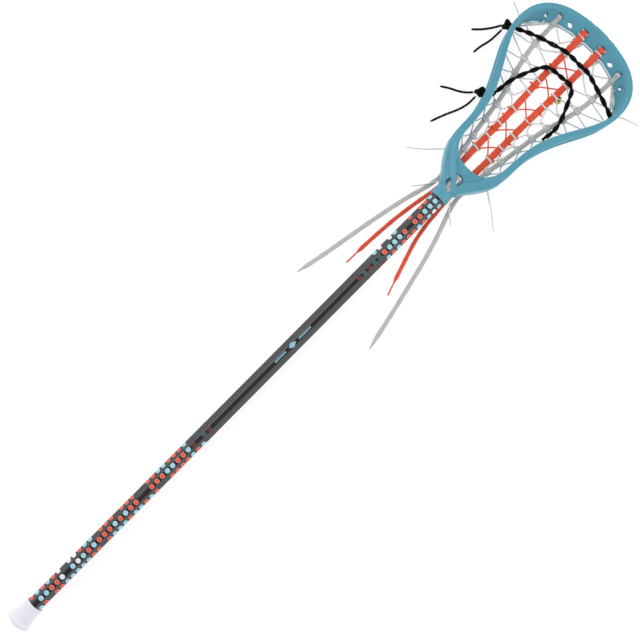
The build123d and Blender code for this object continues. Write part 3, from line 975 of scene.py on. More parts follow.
TAILS = (
    Tail("shooting_tail_upper_1", TailKind.BLACK_CORD, 0.042, (
        (0.994, 0.101, -0.0075), (0.987, 0.1055, -0.0115), (0.979, 0.112, -0.0144),
        (0.971, 0.1185, -0.0150),
        (0.963, 0.127, -0.0150))),
    Tail("shooting_tail_upper_2", TailKind.BLACK_CORD, 0.048, (
        (0.990, 0.097, -0.0080), (0.981, 0.0975, -0.0126), (0.968, 0.0985, -0.0150),
        (0.954, 0.1025, -0.0150),
        (0.943, 0.103, -0.0150))),
    Tail("shooting_tail_lower_1", TailKind.BLACK_CORD, 0.046, (
        (0.9035, 0.065, -0.0085), (0.8985, 0.0705, -0.0126), (0.892, 0.080, -0.0150),
        (0.886, 0.093, -0.0150),
        (0.879, 0.103, -0.0150))),
    Tail("shooting_tail_lower_2", TailKind.BLACK_CORD, 0.070, (
        (0.902, 0.0595, -0.0090), (0.891, 0.059, -0.0132), (0.875, 0.063, -0.0150),
        (0.855, 0.0725, -0.0150),
        (0.836, 0.079, -0.0150))),
    Tail("thong_tail_outer_left", TailKind.GREY_STRAP, 0.239, (
        (0.806, 0.0186, -0.0106), (0.793, 0.0175, -0.0136), (0.773, 0.021, -0.0152),
        (0.740, 0.0305, -0.0154),
        (0.702, 0.0385, -0.0154), (0.659, 0.0463, -0.0154), (0.6145, 0.0538, -0.0154),
        (0.571, 0.0628, -0.0154)),
        lean=-1.0),
    Tail("thong_tail_outer_right", TailKind.GREY_STRAP, 0.248, (
        (0.806, -0.0186, -0.0106), (0.793, -0.0178, -0.0136), (0.774, -0.0205, -0.0152),
        (0.745, -0.0315, -0.0154),
        (0.706, -0.0435, -0.0154), (0.661, -0.0542, -0.0154), (0.613, -0.0654, -0.0154),
        (0.5655, -0.0752, -0.0154))),
    Tail("thong_tail_inner_left", TailKind.ORANGE_STRAP, 0.181, (
        (0.806, 0.0126, -0.0106), (0.793, 0.0098, -0.0134), (0.777, 0.0106, -0.0152),
        (0.746, 0.0165, -0.0155),
        (0.712, 0.0215, -0.0155), (0.678, 0.024, -0.0155), (0.649, 0.0256, -0.0155),
        (0.6255, 0.026, -0.0155))),
    Tail("thong_tail_inner_right", TailKind.ORANGE_STRAP, 0.177, (
        (0.806, -0.0126, -0.0106), (0.793, -0.0098, -0.0134), (0.775, -0.0106, -0.0152),
        (0.741, -0.0128, -0.0155),
        (0.711, -0.0175, -0.0155), (0.680, -0.0275, -0.0155), (0.654, -0.0357, -0.0155),
        (0.633, -0.043, -0.0155))),
    Tail("lace_tail_throat_left", TailKind.NYLON_LACE, 0.060, (
        (0.829, 0.035, -0.0142), (0.818, 0.046, -0.0155), (0.806, 0.057, -0.0157), (0.796, 0.069, -0.0157),
        (0.788, 0.079, -0.0157))),
    Tail("lace_tail_throat_right", TailKind.NYLON_LACE, 0.063, (
        (0.829, -0.034, -0.0142), (0.820, -0.045, -0.0155), (0.811, -0.060, -0.0157),
        (0.800, -0.073, -0.0157),
        (0.791, -0.084, -0.0157))),
    Tail("lace_tail_socket_left", TailKind.NYLON_LACE, 0.036, (
        (0.786, 0.0158, -0.0092), (0.779, 0.0202, -0.0109), (0.771, 0.0256, -0.0136),
        (0.764, 0.031, -0.0155),
        (0.7575, 0.037, -0.0157))),
    Tail("lace_tail_socket_right", TailKind.NYLON_LACE, 0.033, (
        (0.778, -0.0146, -0.0085), (0.7715, -0.0197, -0.0104), (0.766, -0.0254, -0.0115),
        (0.761, -0.0318, -0.0146),
        (0.757, -0.0382, -0.0157))),
    Tail("lace_tail_scoop_left", TailKind.NYLON_LACE, 0.036, (
        (1.012, 0.084, -0.0138), (1.0185, 0.0905, -0.0154), (1.024, 0.098, -0.0157),
        (1.028, 0.107, -0.0157),
        (1.030, 0.114, -0.0157))),
    Tail("lace_tail_scoop_right", TailKind.NYLON_LACE, 0.042, (
        (1.012, -0.084, -0.0138), (1.018, -0.092, -0.0154), (1.023, -0.101, -0.0157),
        (1.0265, -0.112, -0.0157),
        (1.030, -0.122, -0.0157))),
)


# ---------------------------------------------------------------- moulded pieces
@dataclass
class Moulding:
    """A moulded piece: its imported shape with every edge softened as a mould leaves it."""

    node: str
    body: Body
    slot: Slot
    finish: Finish
    voxel: float
    rounds: int
    budget: int = 190_000
    ridges: tuple[tuple[tuple[float, float], ...], ...] = ()
    ridge_rise: float = 2.2
    ridge_reach: float = 2.8

    def raise_ridges(self, mesh: bpy.types.Mesh) -> None:
        """Swell the upper skin along each ridge's line, on both sides."""
        segments = [pair for line in self.ridges for pair in zip(line, line[1:])]
        low, high = (self.ridges[0][0][0] - 20) * MM, (self.ridges[0][-1][0] + 20) * MM
        for vertex in mesh.vertices:
            if not low < vertex.co.x < high or vertex.normal.z < 0.35:
                continue
            place = Vector((vertex.co.x, abs(vertex.co.y))) / MM
            near = 1e9
            for first, second in segments:
                start, run = Vector(first), Vector(second) - Vector(first)
                share = min(1.0, max(0.0, (place - start).dot(run) / run.length_squared))
                near = min(near, (place - start - run * share).length)
            vertex.co.z += self.ridge_rise * math.exp(
                -((near / self.ridge_reach) ** 2)
            ) * vertex.normal.z * MM

    def build(self) -> bpy.types.Object:
        """Build the softened piece and let it stand for its node."""
        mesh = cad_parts[self.node].data.copy()
        made = plain_object(self.node + "_moulded", mesh, self.finish)
        weld = made.modifiers.new("weld", "WELD")
        weld.merge_threshold = 1e-6
        remesh = made.modifiers.new("skin", "REMESH")
        remesh.mode = "VOXEL"
        remesh.voxel_size = self.voxel
        remesh.use_smooth_shade = True
        relax = made.modifiers.new("relax", "SMOOTH")
        relax.factor, relax.iterations = 0.5, self.rounds
        settle(made)
        triangles = 2 * len(made.data.polygons)
        if triangles > self.budget:
            thin = made.modifiers.new("thin", "DECIMATE")
            thin.ratio = self.budget / triangles
            settle(made)
        if self.ridges:
            self.raise_ridges(made.data)
        smooth(made.data)
        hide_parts(self.node)
        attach(made, self.body.value)
        LOG.info("%s: %d faces", made.name, len(made.data.polygons))
        return made


THROAT_RIDGES = (
    ((797.0, 4.5), (805.0, 8.8), (814.0, 18.5), (824.0, 27.4), (835.0, 33.6), (846.0, 36.5)),
    ((786.0, 11.0), (795.0, 17.0), (805.6, 26.9), (814.0, 35.4), (824.0, 40.5), (839.0, 42.6), (852.0, 42.0)),
)


# ---------------------------------------------------------------- shaft
@dataclass
class Shaft:
    """Eight-sided alloy tube with printed dots, in millimetres until its mesh is made."""

    start: float = 6.0
    end: float = 806.0
    width: float = 20.0
    height: float = 22.0
    front: float = 6.2
    side: float = 8.6
    wall: float = 1.4
    corner: float = 0.9
    pitch: float = 9.325
    dot: float = 6.7
    mark: float = 498.6
    bars: tuple[tuple[float, float], ...] = ((467.0, 488.0), (510.0, 532.5))

    def profile(self, grow: float = 0.0) -> list[tuple[float, float]]:
        """Return the section's outline, Y then Z, from the bottom's middle towards +Y, with rounded corners."""
        shift = grow * math.tan(math.radians(22.5))
        half_y, half_z = self.width / 2 + grow, self.height / 2 + grow
        flat_y, flat_z = self.front / 2 + shift, self.side / 2 + shift
        eight = [
            (flat_y, -half_z), (half_y, -flat_z), (half_y, flat_z), (flat_y, half_z),
            (-flat_y, half_z), (-half_y, flat_z), (-half_y, -flat_z), (-flat_y, -half_z),
        ]
        outline = [(0.0, -half_z)]
        for number, spot in enumerate(eight):
            here = Vector(spot)
            before = (Vector(eight[number - 1]) - here).normalized()
            after = (Vector(eight[(number + 1) % 8]) - here).normalized()
            for share in (0.0, 0.33, 0.67, 1.0):
                first, second = here + before * self.corner, here + after * self.corner
                curve = first * (1 - share) ** 2 + here * 2 * share * (1 - share) + second * share ** 2
                outline.append((curve.x, curve.y))
        return outline

    def build_tube(self) -> bpy.types.Object:
        """Build the tube with softened rims and its hollow."""
        outer, inner = self.profile(), self.profile(-self.wall)
        lip = self.profile(-0.25)
        steps = [self.start + 1.0 + (self.end - self.start - 2.0) * number / 80 for number in range(81)]
        rows = [(self.start, lip), (self.start + 0.3, outer)]
        rows += [(x, outer) for x in steps]
        rows += [(self.end - 0.3, outer), (self.end, lip), (self.end, inner)]
        rows += [(x, inner) for x in reversed(steps)] + [(self.start, inner)]
        rings = [[Vector((x, y, z)) * MM for y, z in outline] for x, outline in rows]
        runs = [x * MM for x, _ in rows]
        mesh = loft("shaft_coated", rings, runs, closed=True)
        mesh.flip_normals()
        made = plain_object("shaft_coated", mesh, ShaftCoat())
        edge = made.modifiers.new("edges", "WEIGHTED_NORMAL")
        edge.keep_sharp = False
        settle(made)
        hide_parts("shaft_tube")
        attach(made, Body.STICK.value)
        return made

    def blank_dot(self) -> bpy.types.Object:
        """Build one dot lying flat, with a raised middle ring marked for its paler rim."""
        radius = self.dot / 2 * MM
        levels = ((1.0, -0.3, 1.0), (0.97, 1.0, 1.0), (0.66, 1.0, 1.0), (0.5, 1.0, 0.15))
        sides = 14
        verts: list[Point] = []
        rims: list[float] = []
        for share, lift, rim in levels:
            for step in range(sides):
                turn = 2 * math.pi * step / sides
                verts.append((radius * share * math.cos(turn), radius * share * math.sin(turn), lift))
                rims.append(rim)
        verts.append((0.0, 0.0, 1.0))
        rims.append(0.0)
        faces: list[tuple[int, ...]] = []
        for level in range(len(levels) - 1):
            for step in range(sides):
                low, after = level * sides, (step + 1) % sides
                faces.append((low + step, low + after, low + sides + after, low + sides + step))
        last = (len(levels) - 1) * sides
        faces += [(last + step, last + (step + 1) % sides, len(verts) - 1) for step in range(sides)]
        mesh = bpy.data.meshes.new("dot_blank")
        mesh.from_pydata(verts, [], faces)
        ring = mesh.attributes.new("ring", "FLOAT", "POINT")
        ring.data.foreach_set("value", rims)
        return linked("dot_blank", mesh)

    def dot_rows(self) -> list[tuple[float, float, Colour]]:
        """List every dot as its place along the shaft, its place round it and its colour."""
        inks = {
            "B": (0.36, 0.74, 0.88), "R": (0.92, 0.085, 0.03), "W": (0.92, 0.92, 0.98),
            "b": (0.045, 0.115, 0.15), "r": (0.15, 0.028, 0.022),
        }
        groups = (
            (40.3, {
                0.0: ".BBRRW.BWBRBRRRBRBRR..RRRBBRRBr.br",
                10.7: "BR.RRBBBBBRR.RBBBRBBRBR..RRRRBRB.r",
                -10.7: "RBRBRW.WWRBB.RRR.RRR..RRBBRRRB.b.r",
                19.4: "WRBB.BRRBRBBWRB.RRBRB.BRRBWBRR.rb.",
                -19.4: "BBR.WRBRRBRB.BBRRWBR.RRBRBBR.Bbr..",
                28.4: "RBBRRBWRB.RRBRBB.RBRWBBRRB.RBBR.b.",
                -28.4: "BRW.RBBRRB.RBWRRBBRBR.BRRWRBB.Rr.b",
            }),
            (611.1, {
                0.0: ".rbrbbRBBBR.RRBBB",
                10.7: "....rrBRBRRRBRBWB",
                -10.7: "....bBW.WB..R.RRB",
                19.4: "..r.bRRB.WBRRB.RB",
                -19.4: ".b..rBRR.BRBWRBBR",
                28.4: "...brRB.RRBRB.BRW",
                -28.4: "..b.bRWB.RBBR.RBB",
            }),
        )
        return [
            (start + self.pitch * number, round_place, inks[letter])
            for start, rows in groups
            for round_place, letters in rows.items()
            for number, letter in enumerate(letters)
            if letter != "."
        ]

    def build_dots(self) -> bpy.types.Object:
        """Print the dots round the tube."""
        outline = self.profile()
        ring = bpy.data.meshes.new("shaft_profile")
        ring.from_pydata(
            [(0.0, y * MM, z * MM) for y, z in outline + outline[:1]],
            [(n, n + 1) for n in range(len(outline))], []
        )
        profile = linked("shaft_profile", ring)
        around = run_lengths([Vector((0.0, y * MM, z * MM)) for y, z in outline + outline[:1]])[-1]
        rows = self.dot_rows()
        guide = bpy.data.meshes.new("dot_places")
        guide.from_pydata([(x * MM, around / 2 + place * MM, 0.0) for x, place, _ in rows], [], [])
        ink = guide.attributes.new("ink", "FLOAT_COLOR", "POINT")
        ink.data.foreach_set("color", [part for _, _, colour in rows for part in (*colour, 1.0)])
        blank = self.blank_dot()
        made = dot_tree().grow(
            "shaft_dots", guide, {"Blank": blank, "Profile": profile, "Lift": 0.00016}, PrintedInk()
        )
        for helper in (blank, profile):
            bpy.data.objects.remove(helper)
        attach(made, Body.STICK.value)
        LOG.info("shaft_dots: %d dots", len(rows))
        return made

    def build_mark(self) -> bpy.types.Object:
        """Print the plain mark: a diamond between two rows of slanted bars, on the front facet."""
        shapes = [[(self.mark - 6.5, 0.0), (self.mark, -3.6), (self.mark + 6.5, 0.0), (self.mark, 3.6)]]
        for first, last in self.bars:
            count = int((last - first) / 2.2)
            for number in range(count):
                x = first + 2.2 * number
                shapes.append([(x, -1.4), (x + 1.3, -1.4), (x + 2.1, 1.4), (x + 0.8, 1.4)])
        verts: list[Point] = []
        faces: list[tuple[int, ...]] = []
        top, low = self.height / 2 + 0.14, self.height / 2 - 0.3
        for shape in shapes:
            base = len(verts)
            verts += [(x * MM, y * MM, z * MM) for z in (low, top) for x, y in shape]
            faces += [(base + 4, base + 5, base + 6, base + 7)]
            faces += [
                (base + n, base + (n + 1) % 4, base + 4 + (n + 1) % 4, base + 4 + n) for n in range(4)
            ]
        mesh = bpy.data.meshes.new("shaft_mark")
        mesh.from_pydata(verts, [], faces)
        ink = mesh.attributes.new("ink", "FLOAT_COLOR", "POINT")
        ink.data.foreach_set("color", [part for _ in verts for part in (0.30, 0.66, 0.82, 1.0)])
        made = plain_object("shaft_mark", mesh, PrintedInk())
        mesh.polygons.foreach_set("use_smooth", [False] * len(mesh.polygons))
        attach(made, Body.STICK.value)
        return made


# ---------------------------------------------------------------- thongs and lacing
def at(line: Sequence[tuple[float, float]], x: float) -> float:
    """Read a line's second value at one first value, straight between its points."""
    for (x0, y0), (x1, y1) in zip(line, line[1:]):
        if x0 <= x <= x1:
            return y0 + (y1 - y0) * (x - x0) / (x1 - x0)
    return line[0][1] if x < line[0][0] else line[-1][1]


@dataclass(frozen=True)
class ThongLine:
    """The route and width of a leather thong, for the left side, in millimetres."""

    plan: tuple[tuple[float, float], ...]
    width: float
    slot: float
    slot_level: float
    foot: float
    thickness: float = 2.2

    def level(self, x: float) -> float:
        """Return the level of the thong's middle at one X of the pocket."""
        return at(
            ((806, -10.6), (836, -10.6), (870, -13.3), (985, -13.3), (1020, -11.5), (self.foot, -7.8)), x
        )

    def points(self, side: int) -> list[Point]:
        """Return the route's points in metres, for the left side (1) or the right (-1)."""
        places = [806, 820, 836, 853, 870, 900, 930, 960, 985, 1003, 1020, self.foot - 12, self.foot - 3]
        route = [(x, at(self.plan, x), self.level(x)) for x in places]
        edge = at(self.plan, self.slot)
        route += [
            ((self.foot + self.slot) / 2, edge, (self.slot_level - 7.0) / 2 + 0.6),
            (self.slot - 1.6, edge, self.slot_level + 0.9),
            (self.slot - 0.1, edge, self.slot_level - 0.8),
            (self.slot, edge, self.slot_level - 8.5),
        ]
        return [(x * MM, side * y * MM, z * MM) for x, y, z in route]


INNER = ThongLine(
    ((800, 11.0), (836, 11.7), (877, 12.3), (925, 12.6), (985, 15.0), (1066, 16.0)), 9.0, 1062.2, 3.2,
    1051.0
)
OUTER = ThongLine(
    ((800, 19.6), (836, 21.0), (868, 26.5), (914, 33.0), (942, 37.5), (968, 47.0), (1005, 53.0), (1060, 54.5)),
    6.4, 1053.0, 5.6, 1042.0,
)
KNOTS = (1009, 985, 963, 939, 915, 891, 863, 841)
BANDS = (1026, 997, 977, 957, 927, 900, 877, 854)
WALLS = (1018, 997, 974, 951, 927, 903, 877, 852)
CROSSES = (1013, 978, 937, 899, 865)
WALL_LINE = (
    (843, 33.6), (869, 36.7), (908, 42.4), (948, 60.4), (978, 77.0), (1002, 84.8), (1022, 78.0),
    (1036, 59.0)
)


@dataclass
class Thongs:
    """The four leather thongs that carry the pocket."""

    def build(self) -> None:
        """Build the thongs of both sides."""
        styles = (
            ("thong_inner", INNER, BANDS, ORANGE_LEATHER, Slot.RED_LEATHER),
            ("thong_outer", OUTER, KNOTS, GREY_LEATHER, Slot.GREY_LEATHER),
        )
        for label, line, ties, finish, slot in styles:
            for name, side in (("left", 1), ("right", -1)):
                self.build_one(f"{label}_{name}", line, side, ties, finish)

    def build_one(
        self, node: str, line: ThongLine, side: int, ties: Sequence[float], finish: Finish
    ) -> None:
        """Build one thong, pinched where the lace ties round it.

        Args:
            node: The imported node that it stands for.
            line: Its route and sizes.
            side: 1 for the left, -1 for the right.
            ties: Where along X the lace goes round it.
            finish: Its leather.
        """
        draw = random.Random(node)
        phases = [draw.uniform(0, 6.28) for _ in range(4)]
        points = route_points(line.points(side), Spline.THROUGH)
        start = points[0].x

        def section(run: float, whole: float) -> list[tuple[float, float]]:
            """Return the strap's ring at one length."""
            x = (start + run) / MM
            pinch = sum(math.exp(-((x - tie) / 2.4) ** 2) for tie in ties)
            ragged = 0.035 * math.sin(x * 0.71 + phases[0]) + 0.03 * math.sin(x * 0.33 + phases[1])
            half = line.width / 2 * MM * (1 - 0.1 * min(pinch, 1.0) + ragged)
            other = line.width / 2 * MM * (
                1 - 0.1 * min(pinch, 1.0) + 0.03 * math.sin(x * 0.52 + phases[2])
            )
            thickness = line.thickness * MM * (
                1 - 0.12 * min(pinch, 1.0) + 0.05 * math.sin(x * 0.2 + phases[3])
            )
            return strap_ring(half, other, thickness)

        made = plain_object(node + "_leather", sweep(node, points, section, flat=True), finish)
        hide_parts(node)
        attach(made, Body.STICK.value)
        LOG.info("%s: %d faces", made.name, len(made.data.polygons))


@dataclass
class Lacing:
    """Thin laces that tie the thongs to each other and to the walls, in millimetres."""

    lace: float = 1.8
    centre: float = 2.0

    def tube(
        self, name: str, route: Sequence[Point], diameter: float, finish: Finish
    ) -> bpy.types.Object:
        """Build one lace along a route in millimetres."""
        points = route_points([(x * MM, y * MM, z * MM) for x, y, z in route], Spline.THROUGH)
        lowest = FLOOR_LEVEL + (diameter / 2 + 0.1) * MM
        points = [Vector((point.x, point.y, max(point.z, lowest))) for point in points]
        made = plain_object(name, sweep(name, points, round_section(diameter * MM, 8)), finish)
        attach(made, Body.STICK.value)
        LOG.info("%s: %d faces", made.name, len(made.data.polygons))
        return made

    @staticmethod
    def tie(x: float, y: float, z: float, reach: float, lift: float) -> list[Point]:
        """Return three points of a lace that catches an edge: in, over and out again."""
        return [(x + 1.5, y, z + lift * 0.4), (x, y + reach, z + lift), (x - 1.5, y, z + lift * 0.4)]

    def cross_route(self, side: int) -> list[Point]:
        """Return the zigzag between the inner and the outer thong of one side."""
        route: list[Point] = []
        for band, knot in zip(BANDS, KNOTS):
            inner_edge = at(INNER.plan, band) + INNER.width / 2 + 0.5
            outer_edge = at(OUTER.plan, knot) - OUTER.width / 2 - 0.5
            gap = max(1.5, min(7.0, 0.45 * (outer_edge - at(INNER.plan, knot) - INNER.width / 2)))
            level = OUTER.level(knot)
            route += self.tie(band, inner_edge, INNER.level(band), -1.4, 1.7)
            route += [
                (knot + 0.2, outer_edge - gap, level + 0.6),
                (knot + 1.0, outer_edge - gap + 1.2, level + 0.6)
            ]
            route += self.tie(knot, outer_edge, level, 1.4, 1.7)
            route += [
                (knot - 1.0, outer_edge - gap + 1.2, level - 0.4),
                (knot - 1.6, outer_edge - gap, level - 0.4)
            ]
        return [(x, side * y, z) for x, y, z in route]

    def wall_route(self, side: int) -> list[Point]:
        """Return the zigzag between the outer thong and the wall's holes of one side."""
        route: list[Point] = [(1037.5, 66.5, -4.6), (1034.0, 65.0, -7.5)]
        for knot, wall in zip(KNOTS, WALLS):
            outer_edge = at(OUTER.plan, knot) + OUTER.width / 2 + 0.5
            wall_level = -12.5 if wall < 990 else -7.5
            wall_y = at(WALL_LINE, wall) - 0.8
            route += self.tie(wall, wall_y, wall_level, 2.0, 0.6)
            route += self.tie(knot - 1.5, outer_edge, OUTER.level(knot), -1.4, 1.8)
        return [(x, side * y, z) for x, y, z in route]

    def centre_routes(self) -> list[list[Point]]:
        """Return the two crossing orange laces between the inner thongs."""
        routes = []
        for number, first in enumerate((1, -1)):
            side, route = first, []
            for x in CROSSES:
                level = INNER.level(x) + 1.6
                for step in (7.5, -7.5):
                    edge = at(INNER.plan, x) - INNER.width / 2
                    sign = 1 if step > 0 else -1
                    route.append((x + step + 2.5 * sign, side * sign * (edge + 2.4), level - 3.1))
                    route.append((x + step, side * sign * (edge - 0.6), level - 0.8))
                    if step > 0:
                        route.append((x + 0.2, 0.2 * side, level + number * 1.9))
                route[-1], route[-2] = route[-2], route[-1]
                side = -side
            routes.append(route)
        return routes

    def wrap_blank(
        self, width: float, thickness: float, diameter: float, turns: Sequence[float]
    ) -> bpy.types.Object:
        """Build wraps of lace round a strap, centred on it, as the shape that the tree repeats.

        Args:
            width: The strap's width.
            thickness: The strap's thickness.
            diameter: The lace's diameter.
            turns: Where along the strap each turn lies, in millimetres.

        Returns:
            The blank's object, in metres.
        """
        across, up = width / 2 + diameter * 0.35, thickness / 2 + diameter * 0.42
        steps, sides = 26, 6
        coils: list[list[Vector]] = []
        for place in turns:
            line = []
            for step in range(steps):
                turn = 2 * math.pi * step / steps
                side, rise = math.cos(turn), math.sin(turn)
                square = (abs(side) ** 4 + abs(rise) ** 4) ** 0.25
                lean = 0.5 * side
                rise *= 1.0 if rise > 0 else 0.8
                line.append(Vector((place + lean, across * side / square, up * rise / square)) * MM)
            coils.append(line)
        verts: list[tuple[float, ...]] = []
        faces: list[tuple[int, ...]] = []
        marks: list[float] = []
        for line in coils:
            base, count = len(verts), len(line)
            for number, spot in enumerate(line):
                tangent = (line[(number + 1) % count] - line[number - 1]).normalized()
                out = tangent.cross(Vector((1.0, 0.0, 0.0))).normalized()
                third = tangent.cross(out)
                for step in range(sides):
                    turn = 2 * math.pi * step / sides
                    offset = (out * math.cos(turn) + third * math.sin(turn)) * diameter / 2 * MM
                    verts.append(tuple(spot + offset))
            for number in range(count):
                low, high = base + number * sides, base + (number + 1) % count * sides
                for step in range(sides):
                    after = (step + 1) % sides
                    faces.append((low + step, low + after, high + after, high + step))
                    for u, v in (
                        (step, number), (step + 1, number), (step + 1, number + 1), (step, number + 1)
                    ):
                        marks += [u / sides, v * 0.9]
        mesh = bpy.data.meshes.new("wrap_blank")
        mesh.from_pydata(verts, [], faces)
        mesh.uv_layers.new(name="route").data.foreach_set("uv", marks)
        return linked("wrap_blank", mesh)

    def build_wraps(self) -> None:
        """Set the wraps of lace round the thongs."""
        tree = wrap_tree()
        styles = (
            ("band_wraps", INNER, (*BANDS, 1056.0), 4.0, 2.5, (0.0,), WHITE_LACE, Slot.WHITE_LACE),
            ("hitch_knots", OUTER, KNOTS, -6.0, 2.4, (-2.4, 0.2, 2.7), PALE_LACE, Slot.WHITE_LACE),
            ("thong_splits", OUTER, (1043.5,), 24.0, 2.6, (-1.5, 1.7), GREY_LEATHER, Slot.GREY_LEATHER),
            (
                "centre_wraps", INNER, tuple(x - 9.0 for x in CROSSES), -8.0, 2.2, (0.0,),
                ORANGE_LACE, Slot.RED_LACE
            ),
        )
        for name, line, places, lean, diameter, turns, finish, slot in styles:
            blank = self.wrap_blank(line.width, line.thickness, diameter, turns)
            spots, angles = [], []
            for side in (1, -1):
                for x in places:
                    slope = math.atan2(at(line.plan, x + 4) - at(line.plan, x - 4), 8.0)
                    pitch = -math.atan2(line.level(x + 4) - line.level(x - 4), 8.0)
                    level = line.level(min(x, line.foot)) + max(0.0, x - line.foot) * 0.9
                    spots.append((x * MM, side * at(line.plan, x) * MM, level * MM))
                    angles += [0.0, pitch, side * (slope - math.radians(lean))]
            guide = bpy.data.meshes.new(name + "_places")
            guide.from_pydata(spots, [], [])
            guide.attributes.new("turn", "FLOAT_VECTOR", "POINT").data.foreach_set("vector", angles)
            made = tree.grow(name, guide, {"Wrap": blank, "Size": 1.0}, finish)
            bpy.data.objects.remove(blank)
            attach(made, Body.STICK.value)
            LOG.info("%s: %d wraps", name, len(spots))

    def build_stubs(self) -> None:
        """Set the ends of the orange lace where they come round the outer edges of the inner thongs."""
        edge = INNER.width / 2
        route = [
            (-0.6, edge - 3.4, 1.9), (0.0, edge - 0.6, 1.9), (0.5, edge + 2.6, 0.6), (0.2, edge + 0.8, -1.6)
        ]
        points = route_points([(x * MM, y * MM, z * MM) for x, y, z in route], Spline.THROUGH)
        blank = linked("stub_blank", sweep("stub_blank", points, round_section(self.centre * MM, 8)))
        spots, angles = [], []
        for side, places in (
            (1, (967.5, 924.0, 909.5, 886.0, 857.0)), (-1, (948.0, 925.0, 904.0, 888.0, 871.0, 858.0))
        ):
            for x in places:
                spots.append((x * MM, side * at(INNER.plan, x) * MM, INNER.level(x) * MM))
                angles += [0.0, 0.0, (0.0 if side > 0 else math.pi) + 0.35 * math.sin(x)]
        guide = bpy.data.meshes.new("stub_places")
        guide.from_pydata(spots, [], [])
        guide.attributes.new("turn", "FLOAT_VECTOR", "POINT").data.foreach_set("vector", angles)
        made = wrap_tree().grow("centre_stubs", guide, {"Wrap": blank, "Size": 1.0}, ORANGE_LACE)
        bpy.data.objects.remove(blank)
        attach(made, Body.STICK.value)
        LOG.info("centre_stubs: %d ends", len(spots))

    def scoop_routes(self) -> dict[str, list[Point]]:
        """Return the laces along the scoop's inner edge, for the left side."""
        return {
            "scoop_lace_outer": [
                (1017, 84.5, -7.5), (1020.6, 79.7, -9.0), (1030, 71, -9.5), (1041.6, 58.5, -9.0),
                (1044, 54, -5.8),
                (1041, 58, -9.4), (1029, 68.5, -10.2), (1015.5, 79.8, -10.0), (1009, 84.5, -9.0),
            ],
            "scoop_lace_middle": [
                (1033, 30.5, -11.5), (1042.2, 45.8, -9.0), (1046, 50, -6.6), (1046.7, 47.6, -6.4),
                (1049.6, 36, -6.2), (1051.7, 23.7, -6.2), (1050.5, 19.5, -8.0), (1040, 25, -10.4),
                (1030.1, 32.0, -11.0),
            ],
        }

    def build(self) -> None:
        """Build every lace."""
        for name, side in (("left", 1), ("right", -1)):
            cross = self.tube(
                f"cross_lace_{name}_tied", self.cross_route(side), self.lace, GREY_LACE
            )
            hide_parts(f"cross_lace_{name}")
            wall = self.tube(
                f"wall_lace_{name}_tied", self.wall_route(side), self.lace, GREY_LACE
            )
            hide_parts(f"sidewall_lace_{name}")
            for label, route in self.scoop_routes().items():
                turned = [(x, side * y, z) for x, y, z in route]
                finish = WHITE_LACE if label.endswith("middle") else PALE_LACE
                self.tube(f"{label}_{name}", turned, self.lace + 0.4, finish)
        bar = [
            (1051.5, 12.0, -8.2), (1053.1, 8.5, -5.8), (1053.6, 0.0, -5.4), (1053.1, -8.5, -5.8),
            (1051.5, -12.0, -8.2)
        ]
        self.tube("scoop_lace_centre", bar, self.lace + 0.4, WHITE_LACE)
        for number, route in enumerate(self.centre_routes(), 1):
            made = self.tube(f"centre_lace_strand_{number}", route, self.centre, ORANGE_LACE)
            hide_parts("centre_lace")
        self.build_wraps()
        self.build_stubs()


@dataclass(frozen=True)
class Plate:
    """A thin flat piece cut to an outline, lying under an inner thong, in millimetres."""

    name: str
    outline: tuple[tuple[float, float], ...]
    drop: float
    thickness: float
    finish: Finish
    slot: Slot

    def build(self) -> bpy.types.Object:
        """Build the plate with softened edges and a slight curl."""
        spots: list[Vector] = []
        for number, first in enumerate(self.outline):
            second = self.outline[(number + 1) % len(self.outline)]
            spots += [Vector(first).lerp(Vector(second), step / 6) for step in range(6)]
        middle = sum(spots, Vector((0.0, 0.0))) / len(spots)
        rings = []
        for share, height in ((0.93, -0.5), (0.99, -0.25), (1.0, 0.0), (0.99, 0.25), (0.93, 0.5)):
            ring = []
            for spot in spots:
                place = middle + (spot - middle) * share
                level = INNER.level(place.x) - self.drop + 0.15 * math.sin(place.y * 0.9)
                ring.append(Vector((place.x, place.y, level + height * self.thickness)) * MM)
            rings.append(ring)
        made = plain_object(
            self.name, loft(self.name, rings, [0.0, 0.001, 0.002, 0.003, 0.004]), self.finish
        )
        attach(made, Body.STICK.value)
        return made


PLATES = (
    Plate("scoop_tab_left", (
        (1035.0, 17.5), (1035.0, 13.0), (1049.5, 7.0), (1054.0, 7.5), (1054.0, 22.0), (1049.0, 22.5)
    ),
          1.9, 1.3, GREY_LEATHER, Slot.GREY_LEATHER),
    Plate("scoop_tab_right", ((
        1035.0, -14.0
    ), (1035.0, -18.5), (1049.5, -25.5), (1054.0, -25.0), (1054.0, -10.0),
                              (1049.0, -9.5)), 1.9, 1.3, GREY_LEATHER, Slot.GREY_LEATHER),
    Plate("plain_tab", ((982.0, -15.0), (972.0, -16.5), (971.5, -24.5), (977.0, -26.5), (984.0, -22.5)),
          1.8, 0.9, YELLOW_TAPE, Slot.WHITE_LACE),
    Plate("plain_tab_patch", ((983.0, -16.0), (977.5, -17.0), (976.5, -23.0), (982.0, -22.5)),
          1.2, 0.5, BLACK_CORD, Slot.BLACK_CORD),
)


